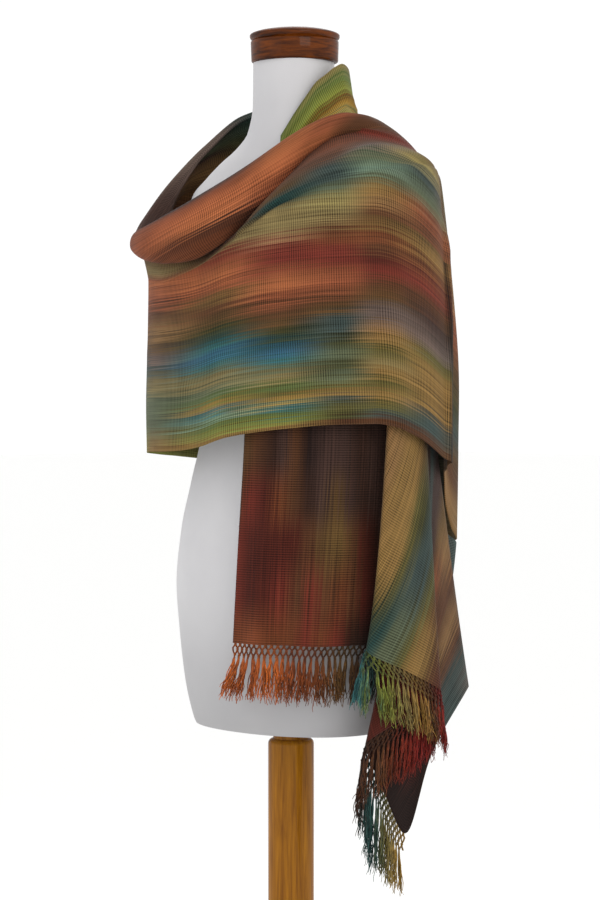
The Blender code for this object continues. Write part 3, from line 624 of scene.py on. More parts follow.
# The back stretch, from the front of the left shoulder round the back to the right one.
backTable = (
    ("turn", "edge", "edgeHeight", "stand", "root", "rootHeight", "shoulder", "shoulderHeight", "blade",
     "hem", "hemHeight"),
    (34, 0.062, 1.438, 0.15, 0.076, 1.394, 0.104, 1.346, 0.121, 0.130, 1.3006),
    (50, 0.059, 1.466, 0.15, 0.073, 1.412, 0.112, 1.362, 0.130, 0.139, 1.3006),
    (65, 0.058, 1.488, 0.15, 0.072, 1.432, 0.130, 1.385, 0.148, 0.153, 1.3006),
    (76, 0.060, 1.503, 0.15, 0.073, 1.440, 0.148, 1.382, 0.164, 0.166, 1.3006),
    (88, 0.061, 1.512, 0.15, 0.075, 1.442, 0.1616, 1.3830, 0.1736, 0.1685, 1.3006),
    (99, 0.064, 1.521, 0.15, 0.078, 1.446, 0.1630, 1.3820, 0.1716, 0.164, 1.120),
    (110, 0.067, 1.526, 0.15, 0.082, 1.449, 0.156, 1.386, 0.162, 0.160, 1.062),
    (125, 0.069, 1.522, 0.15, 0.084, 1.450, 0.141, 1.396, 0.151, 0.156, 1.050),
    (145, 0.070, 1.512, 0.15, 0.084, 1.448, 0.122, 1.397, 0.138, 0.150, 1.046),
    (165, 0.071, 1.504, 0.15, 0.084, 1.446, 0.112, 1.396, 0.131, 0.144, 1.046),
    (180, 0.073, 1.500, 0.14, 0.086, 1.446, 0.112, 1.396, 0.130, 0.142, 1.048),
    (200, 0.080, 1.497, 0.10, 0.094, 1.447, 0.120, 1.394, 0.136, 0.148, 1.050),
    (220, 0.089, 1.494, 0.04, 0.110, 1.448, 0.140, 1.392, 0.154, 0.162, 1.051),
    (240, 0.097, 1.490, -0.06, 0.1275, 1.448, 0.165, 1.388, 0.177, 0.178, 1.052),
)
backFolds = (  # upright folds: where, how wide and how far they stand out at the hem
    (128, 7, 0.005), (144, 8, -0.004), (166, 10, 0.007), (186, 8, -0.004), (206, 9, 0.006), (224, 7, -0.003),
)
back = {"lastTurn": 240.13, "turnStep": 1.5, "steps": (5, 7, 18, 34, 36), "thickness": 0.0013, "bladeFold": 0.45,
        "seamAt": 0.60, "cut": (0.52, 0.72), "cutArea": 0.25,
        "chartWidth": 0.54, "seed": 2.0, "strength": 1.0, "depth": 0.90}
backStations = (  # along towards the seam with the wrap, which the last station meets
    (-0.16, "60 gold tan, 120 lime, 200 olive, 300 leaf green, 420 lime, 470 gold, 500 lime, "
            "520 leaf green"),
    (0.27, "60 khaki, 90 green grey, 130 dark teal, 205 olive brown, 245 rust, 280 burgundy, 345 khaki, "
           "370 dark teal, 395 leaf green, 420 lime, 470 gold, 490 lime, 520 leaf green"),
    (0.39, "60 olive, 100 green grey, 150 dark teal, 200 olive brown, 240 rust, 280 burgundy, 330 brown, "
           "400 olive, 445 lime, 468 straw, 476 gold, 482 olive brown, 490 lime, 505 leaf green, 520 khaki"),
    (0.60, "70 olive brown, 111 olive, 160 dark teal, 220 brown, 281 rust, 342 olive, 398 gold tan, "
           "454 olive, 481 dark olive, 512 dark teal"),
)


def backSection(turn):
    v = readRow(backTable, turn)
    share = rollShape["bustShare"]
    rise = v["edgeHeight"] - v["rootHeight"]
    fold = sum(high * math.exp(-(((turn - at) / width) ** 2)) for at, width, high in backFolds)
    return [
        (v["edge"], v["edgeHeight"]),
        (0.5 * (v["edge"] + v["root"]), 0.5 * (v["edgeHeight"] + v["rootHeight"]) - v["stand"] * rise),
        (v["root"], v["rootHeight"]),
        (v["shoulder"], v["shoulderHeight"]),
        (v["blade"] + back["bladeFold"] * fold, v["hemHeight"] + share * (v["shoulderHeight"] - v["hemHeight"])),
        (v["hem"] + fold, v["hemHeight"]),
    ]


def makeBackStretch():
    at = places(back["steps"])
    first, last = backTable[1][0], back["lastTurn"]
    turns = np.linspace(first, last, int((last - first) / back["turnStep"]))
    sections = np.array([through(backSection(turn), at) for turn in turns])
    grid = around(turns[:, None], sections[..., 0], sections[..., 1])
    collar = runLength(grid, axis=1)
    along = runLength(grid, axis=0)
    flat = np.stack([back["cut"][0] - collar, along], axis=-1)
    grid = layFolds(grid, flat, (
        {"name": "collar pleat", "path": ((0.478, 0.0), (0.476, 0.10), (0.45, 0.2)), "width": 0.005,
         "height": 0.0034},
        {"name": "collar hollow", "path": ((0.490, 0.0), (0.487, 0.10), (0.46, 0.2)), "width": 0.006,
         "height": -0.0024},
        {"name": "slack below the neck", "path": ((0.42, 0.20), (0.40, 0.32), (0.42, 0.44)), "width": 0.014,
         "height": 0.003},
    ))
    flat = np.stack([flat[..., 0], back["seamAt"] + along - along[-1]], axis=-1)
    material = wovenCloth("hand-woven cloth of the back", back, backStations)
    piece = clothShell("backCloth", grid, flat, back["thickness"], material)
    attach(piece, "root")
    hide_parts("back_stretch")
    print("back stretch made")


# The first end, hanging in front of the left side under the wrap.
nearTable = (
    ("height", "innerTurn", "outerTurn", "front", "side", "wave"),
    (1.2996, 22.5, 80.0, 0.1295, 0.1685, 0.000),
    (1.240, 25.0, 90.0, 0.136, 0.1685, 0.001),
    (1.190, 24.5, 92.0, 0.137, 0.168, 0.002),
    (1.090, 23.5, 92.0, 0.137, 0.167, 0.003),
    (0.960, 19.0, 88.0, 0.133, 0.167, 0.004),
    (0.848, 15.0, 80.0, 0.130, 0.167, 0.005),
)
nearFolds = ((0.20, 0.09, 0.6), (0.42, 0.07, -0.8), (0.63, 0.08, 1.0), (0.86, 0.07, -0.7))
near = {"columns": 76, "rows": 170, "edgeDrift": 0.012, "roundness": 2.3, "thickness": 0.0013, "cut": (0.20, 0.46),
        "chartWidth": 0.20, "seed": 3.0, "strength": 0.96, "depth": 0.66}
nearStations = (  # along is up from the fringe
    # The dark stripes at the far side, from about 150 mm across, are painted shadow cast by the tail.
    (0.00, "0 russet, 30 rust, 50 russet, 78 russet, 95 burgundy, 112 russet, 130 burgundy, 150 dark brown, "
           "172 dark plum"),
    (0.06, "0 burgundy, 20 dark red, 46 dark red, 60 burgundy, 82 brown, 100 burgundy, 115 brown, "
           "132 russet, 150 brown, 165 dark red, 185 dark plum"),
    (0.12, "0 burgundy, 20 dark red, 50 dark red, 76 dark red, 95 brown, 110 olive brown, 128 tawny, "
           "145 brown, 160 dark red, 180 dark brown"),
    (0.17, "0 brown, 15 burgundy, 40 dark red, 56 russet, 70 brown, 90 dark brown, 106 plum, "
           "121 olive brown, 136 plum, 155 dark brown, 175 plum"),
    (0.22, "0 olive brown, 20 brown, 45 dark brown, 58 plum, 71 brown, 86 dark plum, 110 plum, 131 plum, "
           "150 dark brown, 172 plum"),
)


def nearRow(height, across):
    v = readRow(nearTable, height)
    turn = v["innerTurn"] + (v["outerTurn"] - v["innerTurn"]) * across
    distance = oval(turn, v["side"], v["front"], v["front"], near["roundness"])
    for at, width, high in nearFolds:
        distance = distance + v["wave"] * high * np.exp(-(((across - at) / width) ** 2))
    return around(turn, distance, height)


def nearGrid():
    share = np.linspace(0, 1, near["columns"])
    grid = np.array([nearRow(z, share) for z in np.linspace(nearTable[1][0], nearTable[-1][0], near["rows"])])
    across = runLength(grid, axis=1)
    across = across + near["edgeDrift"] * np.linspace(1, 0, near["rows"])[:, None]
    along = runLength(grid[::-1], axis=0)[::-1]
    return grid, np.stack([across, along], axis=-1)


def makeNearEnd():
    grid, flat = nearGrid()
    grid = layFolds(grid, flat, (
        {"name": "faint slant fold", "path": ((0.03, 0.16), (0.08, 0.10), (0.10, 0.02)), "width": 0.010,
         "height": 0.0016},
        {"name": "faint trough", "path": ((0.11, 0.22), (0.13, 0.10), (0.14, 0.02)), "width": 0.008,
         "height": -0.0018},
    ))
    material = wovenCloth("hand-woven cloth of the near end", near, nearStations)
    piece = clothShell("nearEndCloth", grid, flat, near["thickness"], material)
    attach(piece, "root")
    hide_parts("near_end")
    print("near end made")


# The tail: the second end, folded on itself at the left side. Each line runs down from under the wrap to the end.
tailTable = (
    ("line", "topTurn", "top", "topHeight", "middleTurn", "middle", "middleHeight",
     "endTurn", "end", "endHeight"),
    ("long edge", 113, 0.176, 1.140, 122.5, 0.193, 0.945, 129.5, 0.213, 0.786),
    ("right of corner", 108, 0.178, 1.140, 109.0, 0.188, 0.905, 104.5, 0.190, 0.716),
    ("corner", 104, 0.180, 1.140, 102.0, 0.185, 0.880, 92.5, 0.180, 0.628),
    ("left of corner", 97, 0.180, 1.140, 91.0, 0.184, 0.900, 82.5, 0.178, 0.676),
    ("inner fold, behind", 91, 0.180, 1.140, 85.5, 0.183, 0.930, 74.0, 0.177, 0.735),
    ("inner fold, in front", 91, 0.186, 1.140, 85.5, 0.189, 0.930, 74.0, 0.184, 0.741),
    ("middle of second layer", 94, 0.186, 1.140, 92.0, 0.191, 0.935, 88.0, 0.191, 0.764),
    ("right fold, behind", 98, 0.187, 1.140, 100.5, 0.193, 0.950, 103.0, 0.199, 0.786),
    ("right fold, in front", 98, 0.193, 1.140, 100.5, 0.199, 0.950, 103.0, 0.205, 0.790),
    ("middle of front layer", 91, 0.193, 1.140, 89.0, 0.198, 0.950, 87.0, 0.201, 0.818),
    ("left fold, in front", 82, 0.191, 1.140, 77.0, 0.194, 0.960, 72.5, 0.192, 0.842),
    ("left fold, behind", 86, 0.174, 1.140, 81.0, 0.177, 0.960, 75.5, 0.176, 0.850),
    ("back layer", 100, 0.172, 1.130, 100.0, 0.176, 0.970, 100.0, 0.177, 0.866),
    ("back layer, turning", 118, 0.176, 0.990, 117.0, 0.178, 0.925, 117.0, 0.180, 0.878),
    ("back layer, far", 134, 0.198, 0.957, 132.0, 0.194, 0.920, 131.0, 0.189, 0.888),
    ("back edge", 161.5, 0.183, 0.957, 160.0, 0.182, 0.925, 159.0, 0.181, 0.900),
)
tail = {"steps": (12, 12, 14, 14, 6, 10, 10, 6, 12, 12, 7, 10, 10, 10, 14), "rows": 110, "cornerLine": 2,
        "grainLean": 30.0, "thickness": 0.0013, "cut": (0.60, 0.50), "cutArea": 0.20,
        "chartWidth": 0.64, "seed": 4.0, "strength": 0.94, "depth": 0.70}
tailStations = (  # across is along the knotted end from the lowest corner, along is up from the end
    (0.02, "0 dark plum, 50 dark plum, 100 dark brown, 140 dark red, 180 dark red, 220 burgundy, "
           "250 dark red, 276 brown, 290 tawny, 302 gold tan, 316 gold tan, 330 olive, 345 green grey, "
           "360 green grey, 373 dark teal, 400 dark olive, 480 brown, 540 slate, 620 dark teal"),
    (0.10, "0 dark brown, 16 dark plum, 50 dark red, 90 dark plum, 130 dark red, 240 dark red, 280 brown, "
           "304 brown, 320 olive, 345 slate, 366 slate, 386 olive, 402 gold tan, 425 gold tan, 460 tan, "
           "520 burgundy, 600 slate"),
    (0.17, "0 slate, 20 slate, 35 brown, 50 olive brown, 70 brown, 100 dark brown, 185 dark brown, "
           "240 olive brown, 300 slate, 352 slate, 372 dark olive, 395 olive, 412 gold tan, 450 gold tan, "
           "466 tan, 490 tan, 540 brown, 620 plum"),
    (0.25, "0 mauve, 20 slate, 35 brown, 50 tan, 66 brown, 85 brown, 102 rust, 120 brown, 140 dark brown, "
           "160 slate, 185 dark brown, 240 olive brown, 360 slate, 400 olive brown, 430 gold tan, 490 tan, "
           "540 rust, 620 plum"),
    (0.35, "0 slate, 40 mauve, 70 brown, 90 tan, 110 tawny, 130 plum, 150 plum, 165 slate, 190 dark brown, "
           "280 olive brown, 340 olive, 400 gold tan, 460 tan, 520 rust, 620 brown"),
)


def tailGrid():
    rows = tailTable[1:]
    at = places(tail["steps"])
    top = through([around(*r[1:4]) for r in rows], at)
    middle = through([around(*r[4:7]) for r in rows], at)
    end = through([around(*r[7:10]) for r in rows], at)
    t = np.linspace(0, 1, tail["rows"])[:, None, None]
    grid = 2 * (t - 0.5) * (t - 1) * top + 4 * t * (1 - t) * middle + 2 * t * (t - 0.5) * end
    corner = sum(tail["steps"][:tail["cornerLine"]])
    run = runLength(grid[-1])
    run = run - run[corner]
    lean = math.radians(tail["grainLean"])
    up = runLength(grid[::-1], axis=0)[::-1]
    across = np.maximum(run, 0) + up * math.sin(lean)
    along = np.maximum(-run, 0) + up * math.cos(lean)
    return grid, np.stack([across, along], axis=-1), corner


def makeTail():
    grid, flat, _ = tailGrid()
    material = wovenCloth("hand-woven cloth of the tail", tail, tailStations)
    piece = clothShell("tailCloth", grid, flat, tail["thickness"], material)
    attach(piece, "root")
    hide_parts("tail")
    print("tail made")


# Knotted fringe: loose warp yarns tied into a net of small diamonds, then left as strands.
fringe = {
    "knotPitch": 0.0070,
    "netStep": 0.0066,
    "yarnRadius": 0.00066,
    "knotRadius": 0.0019,
    "overlap": 0.0015,  # how far the yarns start up inside the cloth's edge
    "plumb": 0.62,  # how far strands turn from the cloth's fall to straight down
    "sides": 4,
    "stepLength": 0.0036,
    "darkYarnAndShadow": 0.15,  # the darkest yarn, as a share of its dye; yarn tones differ at random, and the darkest are partly painted shadow between strands
    # painted shade on the net and its knots, as a share of the dye
    "netShade": 0.5,
    "netFade": 0.12,  # the share of a loose yarn over which the net's painted shade ends
    "strength": 1.02,
    "wobble": 0.015,
    "wobbleSize": 60.0,
    "tipShare": 0.45,
    "seed": 7,
    "twins": (-0.5, 0.0, 0.5),  # the yarns of a bundle lie side by side in the net
    "twinGaps": (0.0020, 0.0016, 0.0012),  # inside the cloth, just below it, and at the knots
    "belowEdge": 0.0015,
    "crossing": 0.0004,
    "bundleLean": 0.0035,  # how far whole bundles and single yarns stray as they hang
    "bundleOut": 0.0030,
    "outShare": 0.6,
    "lengthSpread": 0.085,
    "splayReach": 0.035,
    "knotSpread": (0.0006, 0.0003),
    "bow": 0.0012,
}
nearFringe = {"rows": 2, "lengths": ((0, 0.2), (0.049, 0.049)), "splay": -0.020, "yarns": 17, "spread": 0.0040}
tailFringe = {"rows": 3, "lengths": ((0.0, 0.04, 0.085, 0.11, 0.14, 0.6),
                                     (0.046, 0.056, 0.082, 0.074, 0.052, 0.052)),
              "splay": -0.006, "yarns": 12, "spread": 0.0032}


def fringeLines(name, edge, above, flatEdge, own):
    random = np.random.default_rng(fringe["seed"])
    run, runAbove = runLength(edge), runLength(above)
    total = run[-1]
    count = int(total / fringe["knotPitch"])
    pitch = total / count

    def reader(points, distance):
        return lambda at: np.array([np.interp(at, distance, points[:, k]) for k in range(points.shape[1])])

    at3, above3, atFlat = reader(edge, run), reader(above, runAbove), reader(flatEdge, run)
    netRows = own["rows"]
    netDepth = netRows * fringe["netStep"]

    def spot(at, below, lean=0.0, out=0.0):
        at = min(max(at, 0.0), total)
        here = at3(at)
        down = here - above3(at * runAbove[-1] / total)
        down = down / np.linalg.norm(down)
        side = at3(min(at + 0.003, total)) - at3(max(at - 0.003, 0.0))
        side = side / np.linalg.norm(side)
        normal = np.cross(side, down)
        normal = normal / np.linalg.norm(normal)
        hang = down * (1 - fringe["plumb"]) + np.array([0, 0, -fringe["plumb"]])
        hang = hang / np.linalg.norm(hang)
        straight = min(below, netDepth)
        return here + down * straight + hang * (below - straight) + side * lean + normal * out

    points, edges, fall, yarnOf, knots, colourAt, yarns = [], [], [], [], [], [], []

    def addLine(path, swing, at):
        first = len(points)
        for k, p in enumerate(path):
            points.append(p)
            fall.append(swing * k / (len(path) - 1))
            yarnOf.append(float(len(yarns)))
            knots.append(0.0)
            colourAt.append(atFlat(at)[0])
            if k:
                edges.append((first + k - 1, first + k))
        yarns.append(first)

    centres = [(k + 0.5) * pitch for k in range(count)]
    for c in centres:  # each bundle zigzags down the net, crossing its neighbour at every knot
        for way in (-1, 1):
            for twin in fringe["twins"]:
                inside, below, knotted = (twin * gap for gap in fringe["twinGaps"])
                path = [spot(c, -fringe["overlap"], inside), spot(c, fringe["belowEdge"], below)]
                for row in range(netRows):
                    shift = way * pitch / 2 if row % 2 == 0 else 0.0
                    path.append(spot(c + shift, (row + 1) * fringe["netStep"], knotted, way * fringe["crossing"]))
                addLine(path, 0.0, c)
    for row in range(netRows):
        for c in centres:
            at = c + (pitch / 2 if row % 2 == 0 else 0.0)
            points.append(spot(at, (row + 1) * fringe["netStep"]))
            fall.append(0.0)
            yarnOf.append(0.0)
            knots.append(1.0)
            colourAt.append(atFlat(min(at, total))[0])
    last = pitch / 2 if netRows % 2 == 1 else 0.0
    for c in centres:
        bundleLean = random.normal(0, fringe["bundleLean"])
        bundleOut = random.normal(0, fringe["bundleOut"])
        for k in range(own["yarns"]):
            at = c + last
            push = own["splay"] * math.exp(-at / fringe["splayReach"])
            reach = np.interp(atFlat(at)[0], *own["lengths"]) * (1 + random.normal(0, fringe["lengthSpread"]))
            lean = bundleLean + random.normal(0, own["spread"]) + push
            out = bundleOut + random.normal(0, fringe["outShare"] * own["spread"])
            path = [spot(at, netDepth, *[random.normal(0, width) for width in fringe["knotSpread"]])]
            for share in (0.25, 0.5, 0.75, 1.0):
                bow = math.sin(math.pi * share) * random.normal(0, fringe["bow"])
                path.append(spot(at, netDepth + reach * share, lean * share**1.3 + bow, out * share))
            addLine(path, 1.0, at)
    mesh = bpy.data.meshes.new(name + "Lines")
    mesh.from_pydata([tuple(map(float, p)) for p in points], edges, [])
    for label, values in (("fall", fall), ("yarn", yarnOf), ("knot", knots), ("across", colourAt)):
        mesh.attributes.new(label, "FLOAT", "POINT").data.foreach_set("value", np.array(values, dtype=np.float32))
    lines = bpy.data.objects.new(name + "Lines", mesh)
    bpy.context.scene.collection.objects.link(lines)
    return lines


# The tree that spins yarn round each line, wavers it towards its tip, and ties the knots.
def yarnTree():
    tree = bpy.data.node_groups.new("yarn on lines", "GeometryNodeTree")
    sockets = tree.interface
    sockets.new_socket("Geometry", in_out="INPUT", socket_type="NodeSocketGeometry")
    for label, value in (("Yarn Radius", fringe["yarnRadius"]), ("Knot Radius", fringe["knotRadius"]),
                         ("Step Length", fringe["stepLength"]), ("Wobble", fringe["wobble"]),
                         ("Wobble Size", fringe["wobbleSize"]), ("Tip Share", fringe["tipShare"])):
        sockets.new_socket(label, in_out="INPUT", socket_type="NodeSocketFloat").default_value = value
    sockets.new_socket("Sides", in_out="INPUT", socket_type="NodeSocketInt").default_value = fringe["sides"]
    sockets.new_socket("Material", in_out="INPUT", socket_type="NodeSocketMaterial")
    sockets.new_socket("Geometry", in_out="OUTPUT", socket_type="NodeSocketGeometry")
    given = addNode(tree, "NodeGroupInput").outputs

    def read(label):
        return addNode(tree, "GeometryNodeInputNamedAttribute", {"data_type": "FLOAT"}, {"Name": label}).outputs[0]

    def maths(operation, a, b):
        return addNode(tree, "ShaderNodeMath", {"operation": operation}, {0: a, 1: b}).outputs[0]

    curve = addNode(tree, "GeometryNodeMeshToCurve", {}, {"Mesh": given["Geometry"]})
    curve = addNode(tree, "GeometryNodeCurveSplineType", {"spline_type": "CATMULL_ROM"},
                    {"Curve": curve.outputs[0]})
    curve = addNode(tree, "GeometryNodeResampleCurve", {"mode": "LENGTH"},
                    {"Curve": curve.outputs[0], "Length": given["Step Length"]})
    fall, yarn = read("fall"), read("yarn")
    waver = addNode(tree, "ShaderNodeTexNoise", {"noise_dimensions": "4D"},
                    {"W": maths("MULTIPLY", yarn, 0.73), "Scale": given["Wobble Size"], "Detail": 1.0})
    centred = addNode(tree, "ShaderNodeVectorMath", {"operation": "SUBTRACT"},
                      {0: waver.outputs["Color"], 1: (0.5, 0.5, 0.5)})
    amount = maths("MULTIPLY", given["Wobble"], fall)
    offset = addNode(tree, "ShaderNodeVectorMath", {"operation": "SCALE"},
                     {0: centred.outputs[0], "Scale": amount})
    curve = addNode(tree, "GeometryNodeSetPosition", {},
                    {"Geometry": curve.outputs[0], "Offset": offset.outputs[0]})
    taper = maths("SUBTRACT", 1.0, maths("MULTIPLY", maths("POWER", fall, 3.0),
                                         maths("SUBTRACT", 1.0, given["Tip Share"])))
    ring = addNode(tree, "GeometryNodeCurvePrimitiveCircle", {}, {"Resolution": given["Sides"],
                                                                  "Radius": given["Yarn Radius"]})
    tubes = addNode(tree, "GeometryNodeCurveToMesh", {}, {
        "Curve": curve.outputs[0], "Profile Curve": ring.outputs[0], "Scale": taper, "Fill Caps": True})
    tied = maths("GREATER_THAN", read("knot"), 0.5)
    spots = addNode(tree, "GeometryNodeMeshToPoints", {}, {"Mesh": given["Geometry"], "Selection": tied})
    bead = addNode(tree, "GeometryNodeMeshIcoSphere", {}, {"Radius": given["Knot Radius"], "Subdivisions": 1})
    beads = addNode(tree, "GeometryNodeInstanceOnPoints", {}, {"Points": spots.outputs[0],
                                                               "Instance": bead.outputs[0]})
    both = addNode(tree, "GeometryNodeJoinGeometry")
    tree.links.new(tubes.outputs[0], both.inputs[0])
    tree.links.new(beads.outputs[0], both.inputs[0])
    real = addNode(tree, "GeometryNodeRealizeInstances", {}, {"Geometry": both.outputs[0]})
    round_ = addNode(tree, "GeometryNodeSetShadeSmooth", {}, {"Geometry": real.outputs[0]})
    done = addNode(tree, "GeometryNodeSetMaterial", {}, {"Geometry": round_.outputs[0],
                                                         "Material": given["Material"]})
    addNode(tree, "NodeGroupOutput", {}, {"Geometry": done.outputs[0]})
    return tree


# Loose rayon and cotton yarn, softly twisted: satin-like along its length.
def looseYarn(name, text, width):
    material = newMaterial(name)
    tree = material.node_tree
    across = addNode(tree, "ShaderNodeAttribute", {"attribute_name": "across"}).outputs["Fac"]
    yarn = addNode(tree, "ShaderNodeAttribute", {"attribute_name": "yarn"}).outputs["Fac"]
    fall = addNode(tree, "ShaderNodeAttribute", {"attribute_name": "fall"}).outputs["Fac"]
    at = addNode(tree, "ShaderNodeCombineXYZ", {}, {"X": yarn, "Y": fall})
    varied = addNode(tree, "ShaderNodeTexNoise", {}, {"Vector": at.outputs[0], "Scale": 2.3, "Detail": 1.0})
    stray = addNode(tree, "ShaderNodeMath", {"operation": "MULTIPLY_ADD"},
                    {0: varied.outputs[0], 1: 0.05, 2: across})
    spot = addNode(tree, "ShaderNodeMath", {"operation": "MULTIPLY_ADD"},
                   {0: stray.outputs[0], 1: 1 / width, 2: -0.025 / width})
    dyed = dyeRamp(tree, spot.outputs[0], text, width)
    # Each yarn gets its own tone at random; the darkest yarns also stand for the shadow between strands, as painted
    # shade.
    own = addNode(tree, "ShaderNodeTexWhiteNoise", {"noise_dimensions": "1D"}, {"W": yarn}).outputs["Value"]
    own = addNode(tree, "ShaderNodeMapRange", {}, {"Value": own, "To Min": fringe["darkYarnAndShadow"], "To Max": 1.1})
    # Painted shade: the net, its knots and the tops of the loose yarns are darker.
    paintedNetShade = addNode(tree, "ShaderNodeMapRange", {},
                     {"Value": fall, "From Max": fringe["netFade"], "To Min": fringe["netShade"]})
    shade = addNode(tree, "ShaderNodeMath", {"operation": "MULTIPLY"}, {0: own.outputs[0], 1: paintedNetShade.outputs[0]})
    rich = addNode(tree, "ShaderNodeHueSaturation", {}, {"Saturation": fringe["strength"], "Color": dyed})
    shaded = addNode(tree, "ShaderNodeVectorMath", {"operation": "SCALE"},
                     {0: rich.outputs[0], "Scale": shade.outputs[0]})
    place = addNode(tree, "ShaderNodeTexCoord").outputs["Object"]
    twist = addNode(tree, "ShaderNodeTexNoise", {}, {"Vector": place, "Scale": 900.0, "Detail": 1.0})
    bump = addNode(tree, "ShaderNodeBump", {}, {"Height": twist.outputs[0], "Distance": 0.0003, "Strength": 0.6})
    shader = addNode(tree, "ShaderNodeBsdfPrincipled", {}, {
        "Base Color": shaded.outputs[0], "Roughness": 0.65, "Sheen Weight": 0.05, "Sheen Roughness": 0.4,
        "Normal": bump.outputs[0], "Specular IOR Level": 0.2})
    addNode(tree, "ShaderNodeOutputMaterial", {}, {"Surface": shader.outputs["BSDF"]})
    return material


def makeFringe(name, node, tree, material, lines):
    spin = lines.modifiers.new("yarn", "NODES")
    spin.node_group = tree
    for item in tree.interface.items_tree:
        if item.in_out == "INPUT" and item.name == "Material":
            spin[item.identifier] = material
    bpy.context.view_layer.update()
    mesh = bpy.data.meshes.new_from_object(lines.evaluated_get(bpy.context.evaluated_depsgraph_get()))
    lines.modifiers.clear()
    bpy.data.objects.remove(lines)
    piece = bpy.data.objects.new(name, mesh)
    mesh.name = name
    bpy.context.scene.collection.objects.link(piece)
    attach(piece, "root")
    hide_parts(node)
    print(name, "made,", len(mesh.polygons), "faces")


def makeFringes():
    spinner = yarnTree()
    grid, flat = nearGrid()
    rust = looseYarn("loose yarn of the near end", "0 bright orange, 30 rust, 52 bright orange, 80 rust, "
                     "110 russet, 140 olive brown, 172 dark brown", near["chartWidth"])
    lines = fringeLines("nearFringe", grid[-1], grid[-3], flat[-1], nearFringe)
    makeFringe("nearFringe", "near_fringe", spinner, rust, lines)
    grid, flat, corner = tailGrid()
    mixed = looseYarn("loose yarn of the tail", "0 gold, 30 khaki, 55 olive, 80 dark teal, 105 dark teal, "
                      "120 dark brown, 160 brown, 190 burgundy, 220 crimson, 260 crimson, 280 brown, 305 gold tan, "
                      "330 khaki, 355 lime, 372 leaf green, 388 teal, 420 slate, 500 olive, 600 gold tan", 0.62)
    lines = fringeLines("tailFringe", grid[-1, corner:], grid[-3, corner:], flat[-1, corner:], tailFringe)
    makeFringe("tailFringe", "tail_fringe", spinner, mixed, lines)


# The dress form: a padded torso under a smooth jersey cover.
formTable = (
    ("height", "side", "front", "back"),
    (0.738, 0.128, 0.094, 0.098),
    (0.744, 0.131, 0.096, 0.100),
    (0.790, 0.145, 0.102, 0.107),
    (0.850, 0.154, 0.106, 0.113),
    (0.906, 0.159, 0.108, 0.117),
    (0.972, 0.152, 0.103, 0.109),
    (1.030, 0.136, 0.096, 0.094),
    (1.090, 0.120, 0.090, 0.084),
    (1.140, 0.128, 0.104, 0.090),
    (1.195, 0.143, 0.124, 0.099),
    (1.245, 0.152, 0.120, 0.105),
    (1.300, 0.157, 0.098, 0.107),
    (1.340, 0.163, 0.076, 0.103),
    (1.362, 0.166, 0.061, 0.096),
    (1.380, 0.160, 0.053, 0.088),
    (1.398, 0.137, 0.049, 0.078),
    (1.415, 0.110, 0.047, 0.068),
    (1.430, 0.080, 0.045, 0.060),
    (1.448, 0.057, 0.043, 0.055),
    (1.480, 0.0475, 0.041, 0.0545),
    (1.531, 0.0465, 0.041, 0.054),
)
form = {"sides": 128, "rings": 150, "roundness": 2.2, "paintedRimShade": 0.62, "rimFade": (0.70, 0.96),
        "stitch": 0.0009, "light": "#D3D2D3", "dark": "#BDBCBF"}


# Cotton jersey, pulled tight over padding: matt, with a knit too fine to see from a step away.
def jersey():
    material = newMaterial("cotton jersey cover")
    tree = material.node_tree
    place = addNode(tree, "ShaderNodeTexCoord").outputs["Object"]
    soft = addNode(tree, "ShaderNodeTexNoise", {}, {"Vector": place, "Scale": 9.0, "Detail": 3.0})
    tone = addNode(tree, "ShaderNodeMix", {"data_type": "RGBA"},
                   {0: soft.outputs[0], 6: linear(form["dark"]), 7: linear(form["light"])})
    # Painted shade: the cover grows darker towards its lower rim, where less light reaches it from below.
    height = addNode(tree, "ShaderNodeSeparateXYZ", {}, {"Vector": place}).outputs["Z"]
    low, high = form["rimFade"]
    paintedLowShade = addNode(tree, "ShaderNodeMapRange", {"interpolation_type": "SMOOTHSTEP"}, {
        "Value": height, "From Min": low, "From Max": high, "To Min": form["paintedRimShade"], "To Max": 1.0})
    tone = addNode(tree, "ShaderNodeVectorMath", {"operation": "SCALE"},
                   {0: tone.outputs[2], "Scale": paintedLowShade.outputs[0]})
    knit = addNode(tree, "ShaderNodeTexNoise", {}, {"Vector": place, "Scale": 1 / form["stitch"], "Detail": 1.0})
    swell = addNode(tree, "ShaderNodeMath", {"operation": "MULTIPLY_ADD"}, {0: soft.outputs[0], 1: 3.0,
                                                                            2: knit.outputs[0]})
    bump = addNode(tree, "ShaderNodeBump", {}, {"Height": swell.outputs[0], "Distance": 0.0003, "Strength": 0.5})
    shader = addNode(tree, "ShaderNodeBsdfPrincipled", {}, {
        "Base Color": tone.outputs[0], "Roughness": 0.88, "Sheen Weight": 0.15, "Sheen Roughness": 0.5,
        "Specular IOR Level": 0.25, "Normal": bump.outputs[0]})
    addNode(tree, "ShaderNodeOutputMaterial", {}, {"Surface": shader.outputs["BSDF"]})
    return material


def stackedRings(name, rings, material):
    rows, sides = rings.shape[:2]
    faces = []
    for r in range(rows - 1):
        for k in range(sides):
            j = (k + 1) % sides
            faces.append((r * sides + k, r * sides + j, (r + 1) * sides + j, (r + 1) * sides + k))
    faces.append(tuple(reversed(range(sides))))
    faces.append(tuple(range((rows - 1) * sides, rows * sides)))
    return addPiece(name, rings.reshape(-1, 3), faces, material)


def makeForm():
    low, high = formTable[1][0], formTable[-1][0]
    turns = np.arange(form["sides"]) * 360 / form["sides"]
    heights = low + (high - low) * np.linspace(0, 1, form["rings"])
    rings = []
    for z in heights:
        v = readRow(formTable, z)
        rings.append(around(turns, oval(turns, v["side"], v["front"], v["back"], form["roundness"]), z))
    piece = stackedRings("torsoCover", np.array(rings), jersey())
    piece.data.set_sharp_from_angle(angle=math.radians(40))
    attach(piece, "root")
    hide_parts("torso")
    print("form made")


